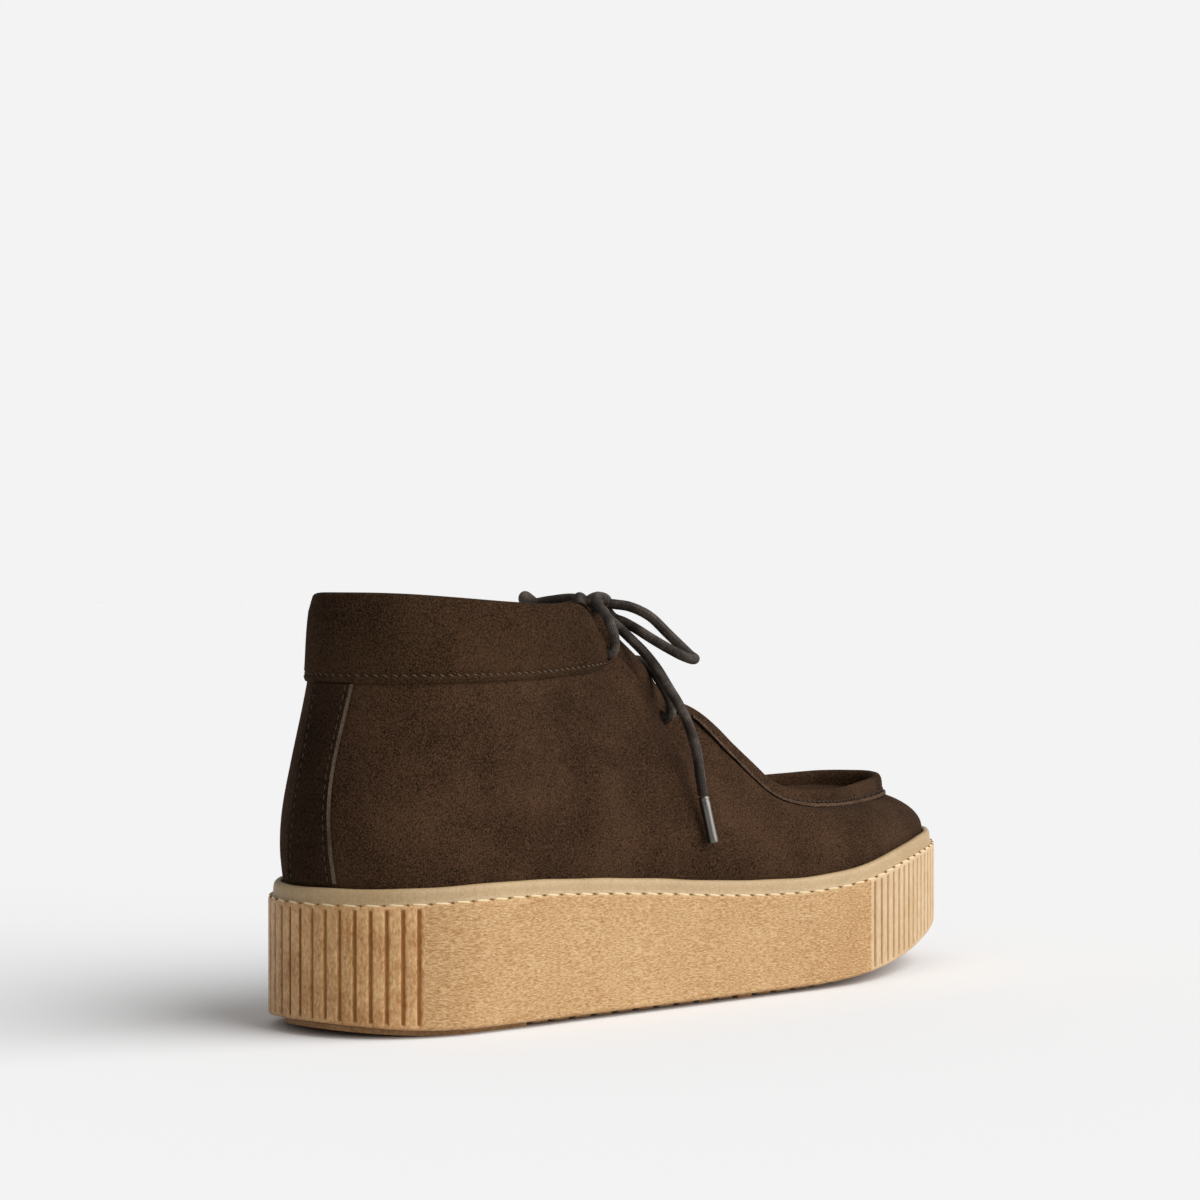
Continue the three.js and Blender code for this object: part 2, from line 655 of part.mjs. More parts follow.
function makeCuff() {
  const near = GAP;
  const far = GAP + CUFF_THICKNESS;
  const front = [];
  const back = [];
  for (let i = -CUFF_END_STEP; i <= CUFF_END_STEP; i += 1) {
    const u = i / SIDE_STEPS;
    const foot = shareAtHeight(u, cuffFoot(u));
    const rim = upperPoint(u, 1);
    const lining = Math.max(foot, shareAtHeight(u, rim.z - CUFF_LINING_HEIGHT));
    const up = rim.clone().sub(upperPoint(u, 0.97)).normalize();
    const over = (offset, rise) => skinPoint(u, 1, offset).addScaledVector(up, rise);
    front.push([
      skinPoint(u, foot, far),
      skinPoint(u, (foot + 1) / 2, far + CUFF_PADDING),
      over(far + CUFF_PADDING / 2, 0),
      over(-UPPER_WALL / 2, far),
      over(-UPPER_WALL - far, 0),
      skinPoint(u, (lining + 1) / 2, -UPPER_WALL - far),
      skinPoint(u, lining, -UPPER_WALL - far),
    ]);
    back.push([
      skinPoint(u, foot, near),
      skinPoint(u, (foot + 1) / 2, near),
      over(near, near),
      over(-UPPER_WALL / 2, near),
      over(-UPPER_WALL - near, near),
      skinPoint(u, (lining + 1) / 2, -UPPER_WALL - near),
      skinPoint(u, lining, -UPPER_WALL - near),
    ]);
  }
  return sheet(front, back, false);
}

// Strip over the heel's back seam, between the band and the cuff, a little narrower half way up
function makeBackStrip() {
  const across = [-BACK_STRIP_SHARE, -1 / SIDE_STEPS, 0, 1 / SIDE_STEPS, BACK_STRIP_SHARE];
  const row = (i, offset) => across.map((full) => {
    const rise = i / STRIP_STEPS;
    const u = full * (1 - BACK_STRIP_WAIST * Math.sin(Math.PI * rise));
    const top = shareAtHeight(u, cuffFoot(u) - GAP);
    const bottom = FOOT_SHARE + 0.01;
    return skinPoint(u, bottom + (top - bottom) * rise, offset);
  });
  const rows = Array.from({ length: STRIP_STEPS + 1 }, (_, i) => i);
  return sheet(
    rows.map((i) => row(i, GAP + BACK_STRIP_THICKNESS)),
    rows.map((i) => row(i, GAP)),
    false,
  );
}

// Height of the crest line at a place along the shoe
function crestHeight(x) {
  return SOLE_HEIGHT + COLLAR_RISE * smoothAt(CREST, 'reach', 'rise', x / LENGTH);
}

// A plate of even thickness under a grid of points
function plate(grid, thickness) {
  const last = grid.length - 1;
  const back = grid.map((row, s) => row.map((p, t) => {
    const ahead = grid[Math.min(s + 1, last)][t].clone().sub(grid[Math.max(s - 1, 0)][t]);
    const end = row.length - 1;
    const aside = row[Math.min(t + 1, end)].clone().sub(row[Math.max(t - 1, 0)]);
    const normal = ahead.cross(aside).normalize();
    if (normal.z < 0) normal.negate();
    return p.clone().addScaledVector(normal, -thickness);
  }));
  return sheet(grid, back, false);
}

function makeTongue() {
  const across = [-1, -0.72, -0.45, -0.2, 0, 0.2, 0.45, 0.72, 1];
  const sink = (APRON_THICKNESS + 3 * GAP) / Math.cos(TONGUE_SLOPE);
  const grid = TONGUE.map((row) => across.map((side) => {
    const x = row.reach * LENGTH;
    const fall = row.drop * COLLAR_RISE * Math.abs(side) ** TONGUE_ARCH;
    return new THREE.Vector3(x, side * row.half * BALL_WIDTH, crestHeight(x) - row.under * sink - fall);
  }));
  return plate(grid, TONGUE_THICKNESS);
}

// Moccasin apron: a rim that stands on the seam and a plug sunk inside it
// rise: share of the rim's height
function rimPoint(u, outward, rise) {
  const step = 0.008;
  const along = topPoint(wrap(u + step)).sub(topPoint(wrap(u - step))).normalize();
  const out = new THREE.Vector3(along.y, -along.x, 0).normalize();
  const start = APRON_START_STEP / SIDE_STEPS;
  const back = (1 - Math.abs(u)) / (1 - start);
  const up = new THREE.Vector3(0, 0, 1).addScaledVector(along, -along.z).normalize();
  const column = up.addScaledVector(out, -APRON_RIM_LEAN * back ** 1.5).normalize();
  const height = GAP + (rise * APRON_RIM_HEIGHT - GAP) * (1 - APRON_RIM_FALL * back);
  return topPoint(u).addScaledVector(out, outward).addScaledVector(column, height);
}

function makeApron() {
  const inner = APRON_RIM_OVERHANG - APRON_RIM_THICKNESS;
  const onRim = (u) => Math.abs(u) * SIDE_STEPS > APRON_START_STEP - 0.5;
  const rimShares = aroundShares(SIDE_STEPS).filter(onRim);
  const rim = sheet(
    rimShares.map((u) => [
      rimPoint(u, APRON_RIM_OVERHANG, GAP / APRON_RIM_HEIGHT),
      rimPoint(u, APRON_RIM_OVERHANG, 0.7),
      rimPoint(u, APRON_RIM_OVERHANG - APRON_RIM_THICKNESS * 0.3, 1),
    ]),
    rimShares.map((u) => [
      rimPoint(u, inner, GAP / APRON_RIM_HEIGHT),
      rimPoint(u, inner, 0.7),
      rimPoint(u, inner + APRON_RIM_THICKNESS * 0.35, 1),
    ]),
    false,
  );
  const first = APRON_STEPS[0];
  const columns = 8;
  const grid = APRON_STEPS.map((step) => {
    const u = step / SIDE_STEPS;
    const sunk = 1 - APRON_SINK / APRON_RIM_HEIGHT;
    const near = rimPoint(u, inner + APRON_ROOT, sunk);
    const far = rimPoint(-u, inner + APRON_ROOT, sunk);
    const lead = APRON_LEAD * ((SIDE_STEPS - step) / (SIDE_STEPS - first)) ** 2;
    const centre = near.clone().lerp(far, 0.5);
    const swell = crestHeight(centre.x + lead) - centre.z;
    return Array.from({ length: columns + 1 }, (_, i) => {
      const s = i / columns;
      const hump = 1 - Math.abs(2 * s - 1) ** APRON_ARCH;
      const p = near.clone().lerp(far, s);
      return p.setZ(p.z + swell * hump).setX(p.x + lead * hump);
    });
  });
  return joinAll([rim, plate(grid, APRON_THICKNESS)]);
}

// Eyelet holes through the upper
function eyeletCutters() {
  return EYELETS.flatMap((eyelet) => [-1, 1].map((side) => {
    const u = side * eyelet.around;
    const turn = new THREE.Quaternion();
    turn.setFromUnitVectors(new THREE.Vector3(0, 1, 0), upperNormal(u, eyelet.up));
    const hole = new THREE.CylinderGeometry(EYELET_DIAMETER / 2, EYELET_DIAMETER / 2, 4 * UPPER_WALL, 12);
    const centre = skinPoint(u, eyelet.up, -UPPER_WALL / 2);
    return hole.applyQuaternion(turn).translate(centre.x - HEEL_CENTRE, centre.y, centre.z);
  }));
}

// Round cord along a route, with its ends cut square
function cordTube(route, diameter, steps) {
  const path = new THREE.CatmullRomCurve3(route.map((p) => new THREE.Vector3(...p)), false, 'centripetal');
  const section = Array.from({ length: LACE_SIDES }, (_, i) => {
    const turn = (2 * Math.PI * i) / LACE_SIDES;
    return new THREE.Vector2(Math.cos(turn), Math.sin(turn)).multiplyScalar(diameter / 2);
  });
  const options = { steps, bevelEnabled: false, extrudePath: path };
  return new THREE.ExtrudeGeometry(new THREE.Shape(section), options);
}

// The knot: two lumps of wound cord, grown by a clearance where it cuts the cords that meet it
function knotSolid(clearance) {
  return joinAll(KNOT_LUMPS.map((lump) => {
    const [length, width, height] = lump.radii;
    const ball = new THREE.SphereGeometry(1, 10, 6);
    ball.scale(length + clearance, width + clearance, height + clearance);
    return ball.translate(...lump.centre);
  }));
}

function mirrored(route) {
  return route.map(([x, y, z]) => [x, -y, z]);
}

function addCord(name, route, steps) {
  const tube = cordTube(route, LACE_DIAMETER, steps);
  add(name, cutAll(tube, [knotSolid(GAP)]), LACE, 0.7);
}

// Metal tip that carries on from a lace's end, a gap away from it
function addAglet(name, route, tip) {
  const start = new THREE.Vector3(...route[route.length - 1]);
  const end = new THREE.Vector3(...tip);
  const along = end.clone().sub(start).normalize();
  const from = start.addScaledVector(along, GAP);
  const to = from.clone().addScaledVector(along, AGLET_LENGTH);
  add(name, cordTube([from.toArray(), to.toArray()], AGLET_DIAMETER, 1), METAL, 0.35, 0.9);
}

const shares = aroundShares(SIDE_STEPS);
const soleShares = aroundShares(SOLE_STEPS);

const boot = new THREE.Group();

function add(name, geometry, color, roughness, metalness = 0) {
  const material = new THREE.MeshStandardMaterial({ color, roughness, metalness });
  const mesh = new THREE.Mesh(geometry, material);
  mesh.name = name;
  boot.add(mesh);
}

const RUBBER = 0x9a6b43;
const CREPE = 0xc9a36b;
const BAND = 0xb59c70;
const SUEDE = 0x33241b;
const LINING = 0x3a2a20;
const LACE = 0x3b322b;
const METAL = 0xa8a8a6;

add('outsole', makeOutsole(aroundShares(OUTSOLE_STEPS)), RUBBER, 0.8);
add('midsole', makeMidsole(soleShares), CREPE, 0.7);
add('welt_band', makeBand(soleShares), BAND, 0.6);
add('insole', makeInsole(aroundShares(INSOLE_STEPS)), LINING, 0.8);
add('upper', cutAll(makeUpper(shares), eyeletCutters()), SUEDE, 0.95);
add('collar_cuff', makeCuff(), SUEDE, 0.95);
add('back_strip', makeBackStrip(), SUEDE, 0.95);
add('tongue', makeTongue(), SUEDE, 0.95);
add('apron', makeApron(), SUEDE, 0.95);

add('lace_bar', cordTube(LACE_BAR, LACE_DIAMETER, 14), LACE, 0.7);
addCord('lace_leg_outer', LACE_LEG, 8);
addCord('lace_leg_inner', mirrored(LACE_LEG), 8);
add('lace_knot', knotSolid(0), LACE, 0.7);
addCord('lace_loop_outer', LACE_LOOP_OUTER, 22);
addCord('lace_loop_inner', LACE_LOOP_INNER, 20);
addCord('lace_end_outer', LACE_END_OUTER, 14);
addCord('lace_end_inner', LACE_END_INNER, 13);
addAglet('aglet_outer', LACE_END_OUTER, AGLET_OUTER_END);
addAglet('aglet_inner', LACE_END_INNER, AGLET_INNER_END);

export default boot;
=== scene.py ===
"""Right suede chukka boot with a moccasin toe on a thick ribbed crepe sole.

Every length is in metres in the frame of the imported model: +X to the toe, +Y to the inner side, +Z up,
with the origin on the floor under the middle of the heel.
"""

import logging
import math
from dataclasses import dataclass, field
from enum import Enum, IntEnum
from typing import Callable, NamedTuple, Sequence

import bmesh
import bpy
import numpy as np
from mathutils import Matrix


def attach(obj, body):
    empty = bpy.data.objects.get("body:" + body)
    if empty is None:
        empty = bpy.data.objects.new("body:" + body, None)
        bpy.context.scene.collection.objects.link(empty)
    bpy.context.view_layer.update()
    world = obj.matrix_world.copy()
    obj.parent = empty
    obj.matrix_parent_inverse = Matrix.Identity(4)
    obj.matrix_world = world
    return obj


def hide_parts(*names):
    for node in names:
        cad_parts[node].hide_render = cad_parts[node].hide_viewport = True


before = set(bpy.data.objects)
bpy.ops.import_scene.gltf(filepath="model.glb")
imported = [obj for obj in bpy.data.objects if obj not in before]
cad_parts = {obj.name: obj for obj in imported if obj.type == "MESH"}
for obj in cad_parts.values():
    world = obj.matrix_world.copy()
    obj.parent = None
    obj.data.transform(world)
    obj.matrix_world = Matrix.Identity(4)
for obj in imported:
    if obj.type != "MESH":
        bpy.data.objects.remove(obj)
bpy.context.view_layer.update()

LOG = logging.getLogger("boot")
MM = 0.001
BODY = "root"
RUN_LAYER = "run"

Colour = tuple[float, float, float]
Array = np.ndarray
Numbers = np.ndarray | float

NAP_SHEEN: Colour = (0.75, 0.6, 0.5)

# Shares round the shoe over which a direction is measured
NEAR_SHARE = 0.008
EDGE_SHARE = 0.006


class Side(Enum):
    """Which side of the boot a piece is on, as the sign of its share round the shoe."""

    OUTER = 1
    INNER = -1


class Slot(Enum):
    """The record's material slots."""

    OUTSOLE = "outsole"
    CREPE = "crepe"
    BAND = "band"
    SUEDE = "suede"
    LINING = "lining"
    LACE = "lace"
    TIP = "tip"
    THREAD = "thread"


class OutlineRow(NamedTuple):
    """Reach of the sole's wall to each side, in shares of the ball's width."""

    at: float
    outer: float
    inner: float


class RiseRow(NamedTuple):
    """A height at a share of the length."""

    at: float
    rise: float


class TopRow(NamedTuple):
    """Top line of the upper at a share of the way from heel to toe."""

    at: float
    reach: float
    outer: float
    inner: float
    rise: float


class BendRow(NamedTuple):
    """Swelling of the upper's wall: how far low down and near the top, and over what share of its height."""

    at: float
    belly: float
    shoulder: float
    low: float
    high: float


class TongueRow(NamedTuple):
    """Section of the tongue: half width, fall of its sides, and how far it has gone under the apron."""

    at: float
    half: float
    drop: float
    under: float


class CreaseRow(NamedTuple):
    """A soft trough (depth over 0) or ridge (under 0) between two points, all in millimetres."""

    start: tuple[float, float, float]
    end: tuple[float, float, float]
    width: float
    depth: float


OUTLINE = tuple(OutlineRow(*row) for row in (
    (0.007, 0.125, 0.125), (0.028, 0.236, 0.236), (0.063, 0.322, 0.322), (0.109, 0.375, 0.372),
    (0.167, 0.396, 0.39), (0.267, 0.413, 0.392), (0.367, 0.432, 0.392), (0.467, 0.449, 0.412),
    (0.567, 0.466, 0.455), (0.64, 0.482, 0.492), (0.71, 0.478, 0.51), (0.785, 0.428, 0.5),
    (0.86, 0.348, 0.452), (0.927, 0.25, 0.36), (0.973, 0.125, 0.245),
))
TOE_TIP_SIDE = 0.08

WALL_TOP = tuple(RiseRow(*row) for row in (
    (0, 0.988), (0.2, 1), (0.36, 0.935), (0.5, 0.85), (0.61, 0.825), (0.71, 0.872), (0.785, 0.952),
    (0.87, 1.018), (0.95, 1.05), (1, 1.06),
))

TOP_LINE = tuple(TopRow(*row) for row in (
    (0, 0.05, 0, 0, 1.02), (0.06, 0.063, 0.135, 0.135, 1.019), (0.12, 0.091, 0.222, 0.222, 1.014),
    (0.18, 0.136, 0.272, 0.272, 1.003), (0.25, 0.207, 0.292, 0.292, 0.987),
    (0.31, 0.271, 0.272, 0.272, 0.98), (0.355, 0.315, 0.245, 0.245, 0.982),
    (0.385, 0.339, 0.226, 0.226, 0.952), (0.42, 0.36, 0.214, 0.214, 0.873),
    (0.45, 0.382, 0.205, 0.205, 0.835), (0.49, 0.42, 0.2, 0.2, 0.742), (0.53, 0.465, 0.196, 0.196, 0.606),
    (0.565, 0.517, 0.194, 0.194, 0.562), (0.6, 0.558, 0.247, 0.247, 0.425),
    (0.64, 0.603, 0.302, 0.304, 0.28), (0.69, 0.65, 0.32, 0.33, 0.226), (0.75, 0.713, 0.305, 0.342, 0.208),
    (0.82, 0.79, 0.235, 0.33, 0.205), (0.88, 0.853, 0.163, 0.29, 0.21), (0.94, 0.902, 0.07, 0.205, 0.216),
    (1, 0.925, -0.06, 0.06, 0.22),
))

WALL_BEND = tuple(BendRow(*row) for row in (
    (0, 0.05, -0.012, 0.38, 0.42), (0.06, 0.045, -0.01, 0.38, 0.42), (0.12, 0.03, 0, 0.36, 0.42),
    (0.18, 0.02, 0, 0.34, 0.42), (0.25, 0.02, 0, 0.34, 0.42), (0.31, 0.02, 0.01, 0.34, 0.42),
    (0.355, 0.02, 0.015, 0.34, 0.4), (0.385, 0.02, 0.02, 0.34, 0.4), (0.42, 0.02, 0.03, 0.34, 0.4),
    (0.45, 0.02, 0.04, 0.34, 0.38), (0.49, 0.02, 0.05, 0.34, 0.36), (0.53, 0.02, 0.06, 0.36, 0.34),
    (0.565, 0.02, 0.06, 0.38, 0.3), (0.6, 0.02, 0.06, 0.4, 0.22), (0.64, 0.02, 0.06, 0.45, 0.1),
    (0.69, 0.02, 0.07, 0.5, 0.02), (0.75, 0.015, 0.07, 0.55, 0), (0.82, 0.01, 0.065, 0.6, 0),
    (0.88, 0.005, 0.058, 0.6, 0.02), (0.94, 0, 0.048, 0.55, 0.03), (1, 0, 0.048, 0.55, 0.03),
))

FULL_WALL_BEND = (*[row._replace(at=-row.at) for row in WALL_BEND[:0:-1]], *WALL_BEND)

CREST = tuple(RiseRow(*row) for row in (
    (0.4, 1.0), (0.417, 0.965), (0.433, 0.915), (0.462, 0.848), (0.489, 0.782), (0.527, 0.674),
    (0.567, 0.565), (0.603, 0.48), (0.637, 0.4), (0.673, 0.33), (0.707, 0.282), (0.74, 0.25), (0.783, 0.23),
    (0.833, 0.22), (0.89, 0.22),
))

TONGUE = tuple(TongueRow(*row) for row in (
    (0.402, 0.168, 0.27, 0), (0.425, 0.174, 0.32, 0.1), (0.45, 0.176, 0.33, 0.2), (0.475, 0.176, 0.32, 0.3),
    (0.5, 0.172, 0.32, 0.8), (0.525, 0.158, 0.28, 1.2), (0.55, 0.15, 0.22, 1.3),
))

# Soft folds of the upper, outer side first. The inner side repeats them a little weaker.
CREASES = tuple(CreaseRow(*row) for row in (
    ((100, -23, 87.5), (94, -29.5, 75), 2.8, 0.9), ((103.5, -25, 84), (99, -31, 70), 3.6, -0.5),
    ((88, -27, 92), (82, -36, 72), 7, -0.3), ((74, -27, 104), (66, -37, 76), 8, 0.5),
    ((116, -27, 78), (126, -38, 60), 5, 0.45), ((128, -31, 68), (140, -41, 52), 6, 0.4),
    ((40, -36, 84), (20, -37, 66), 9, 0.35), ((-24, -16, 78), (-6, -33, 66), 8, 0.45),
))

# Routes of the lace in millimetres in the boot's frame
LACE_BAR_HIDDEN = (97.5, -15.8, 89.2)
LACE_BAR_HALF = (
    (99.4, -19.7, 90.2), (100.2, -22.8, 91.5), (101, -22.4, 95), (103, -17.5, 100.3),
    (105.6, -10.5, 105.4), (107.8, -4.5, 108.1),
)
LACE_BAR_CREST = (108.7, 0, 108.9)
LACE_LEG = (
    (71.1, -16.2, 111.4), (71.9, -20.2, 112), (72.5, -23.2, 112.8), (73.1, -23.3, 116.3),
    (75.8, -18.8, 121.3), (79.8, -12.4, 125.2), (82.8, -7.6, 126.6), (85.4, -3.8, 127.8), (88.2, -1, 128),
)
LACE_KNOT_TURNS = (
    ((91.8, -3, 126.2), (92.4, -1.6, 129.2), (90.4, 0.4, 130), (88, 2, 128.6), (87.6, 1.6, 125.8)),
    ((86.8, -2.2, 126), (87.4, -2, 129), (89.4, -0.6, 130.1), (91.6, 1.4, 128.8), (91.6, 1.8, 125.8)),
    ((84.4, 1, 126.4), (83.9, 2.6, 128.6), (85.4, 3.8, 129.9), (87.2, 3.4, 128.8), (87.4, 2.6, 126.4)),
)
LACE_LOOP_OUTER = (
    (91, -1.5, 127.9), (93.4, -5, 127.5), (96.6, -8.5, 126.7), (100.9, -13, 123.7), (105.7, -17, 117.8),
    (108.7, -20, 113.7), (110, -22.8, 110.9), (108.1, -26.4, 109.9), (103.5, -28.8, 109.9),
    (99.6, -28, 111.2), (97, -24.5, 113.5), (94.9, -19, 116.7), (94.8, -13, 119.5), (95.2, -6.8, 121.8),
    (94.4, -3, 123.2), (92.5, -1.5, 126),
)
LACE_LOOP_INNER = (
    (86.7, 4, 129.2), (86, 9.5, 129.4), (83.6, 16, 128.6), (81, 21.5, 127.8), (80.6, 24.6, 129),
    (82.4, 25.6, 130.2), (84.6, 24.2, 128.4), (86.4, 20, 124.6), (88.2, 14, 122),
    (88.7, 8.6, 122.5), (88.5, 5.8, 124.4), (88.3, 3.4, 126.4),
)
LACE_END_OUTER = (
    (89.2, -2.2, 126.2), (89.5, -5.4, 123), (90.8, -8.5, 120.2), (92, -13, 116.3), (93.2, -17.5, 112.2),
    (94.4, -22, 107.1), (95.3, -26.5, 100.7), (96.1, -30, 95.6), (96.6, -33.5, 89.6), (96.8, -36.5, 82.6),
    (96.6, -38, 77.9), (96.3, -39.2, 72.2), (96.6, -40.2, 66.5),
)
LACE_END_INNER = (
    (91, 2, 126.2), (93, 5.2, 122.4), (94.7, 10, 118.3), (95, 16, 113), (94.6, 22, 106), (94.2, 27, 98.5),
    (93.8, 31, 90), (93.4, 34, 81), (93.3, 36, 72), (93.7, 37.2, 65),
)
AGLET_OUTER_END = (98.4, -42.4, 53.2)
AGLET_INNER_END = (95.5, 39.4, 51.5)


def smooth_at(rows: Sequence[NamedTuple], key: str, where: Array) -> Array:
    """Reads a column of a table between its rows, with smooth cubic pieces.

    Args:
        rows: the table, in rising order of its places.
        key: the column to read.
        where: the places to read it at.

    Returns:
        The column's values at those places.
    """
    places = np.array([row.at for row in rows], dtype=float)
    values = np.array([getattr(row, key) for row in rows], dtype=float)
    return smooth_values(places, values, where)


def smooth_values(places: Array, values: Array, where: Array) -> Array:
    """Smooth cubic pieces through given values.

    Args:
        places: rising places.
        values: the value at each place.
        where: the places to read.

    Returns:
        The values between.
    """
    x = np.clip(np.asarray(where, dtype=float), places[0], places[-1])
    i = np.clip(np.searchsorted(places, x, side="left") - 1, 0, len(places) - 2)
    rows = np.arange(len(places))
    back, ahead = np.maximum(rows - 1, 0), np.minimum(rows + 1, len(places) - 1)
    slope = (values[ahead] - values[back]) / (places[ahead] - places[back])
    span = places[i + 1] - places[i]
    s = (x - places[i]) / span
    h00 = (1 + 2 * s) * (1 - s) ** 2
    h10 = s * (1 - s) ** 2
    h01 = s * s * (3 - 2 * s)
    h11 = s * s * (s - 1)
    return h00 * values[i] + h10 * span * slope[i] + h01 * values[i + 1] + h11 * span * slope[i + 1]


def curve_through(points: Array, steps: int, closed: bool) -> Array:
    """Centripetal curve through points.

    Args:
        points: the points, one a row.
        steps: steps between two neighbouring points.
        closed: whether the curve comes back to its first point.

    Returns:
        Points on the curve, the last one included.
    """
    points = np.asarray(points, dtype=float)
    count = len(points)
    pieces = count if closed else count - 1
    out = []
    for i in range(pieces):
        p1 = points[i]
        p2 = points[(i + 1) % count]
        p0 = points[i - 1] if closed or i > 0 else 2 * p1 - p2
        p3 = points[(i + 2) % count] if closed or i + 2 < count else 2 * p2 - p1
        d0, d1, d2 = (max(np.linalg.norm(b - a), 1e-9) ** 0.5 for a, b in ((p0, p1), (p1, p2), (p2, p3)))
        t1 = ((p1 - p0) / d0 - (p2 - p0) / (d0 + d1) + (p2 - p1) / d1) * d1
        t2 = ((p2 - p1) / d1 - (p3 - p1) / (d1 + d2) + (p3 - p2) / d2) * d1
        s = (np.arange(steps) / steps)[:, None]
        out.append((2 * s**3 - 3 * s**2 + 1) * p1 + (s**3 - 2 * s**2 + s) * t1
                   + (-2 * s**3 + 3 * s**2) * p2 + (s**3 - s**2) * t2)
    last = points[0] if closed else points[-1]
    return np.vstack([*out, last[None, :]])


def unit(vectors: Array) -> Array:
    """Vectors of length one along the last axis."""
    return vectors / np.maximum(np.linalg.norm(vectors, axis=-1, keepdims=True), 1e-12)


def smoothstep(low: float, high: float, x: Array) -> Array:
    """Soft rise from 0 at low to 1 at high."""
    s = np.clip((x - low) / (high - low), 0, 1)
    return s * s * (3 - 2 * s)


def grids(*values: Numbers) -> list[Array]:
    """Numbers and arrays brought to one shape."""
    return np.broadcast_arrays(*(np.asarray(value, dtype=float) for value in values))


def run_of(path: Array) -> Array:
    """Distance run along a path at each of its points."""
    return np.concatenate([[0], np.cumsum(np.linalg.norm(np.diff(path, axis=0), axis=1))])


def at_run(run: Array, path: Array, where: Numbers) -> Array:
    """Points of a path at given distances along it."""
    return np.stack([np.interp(where, run, column) for column in path.T], axis=-1)


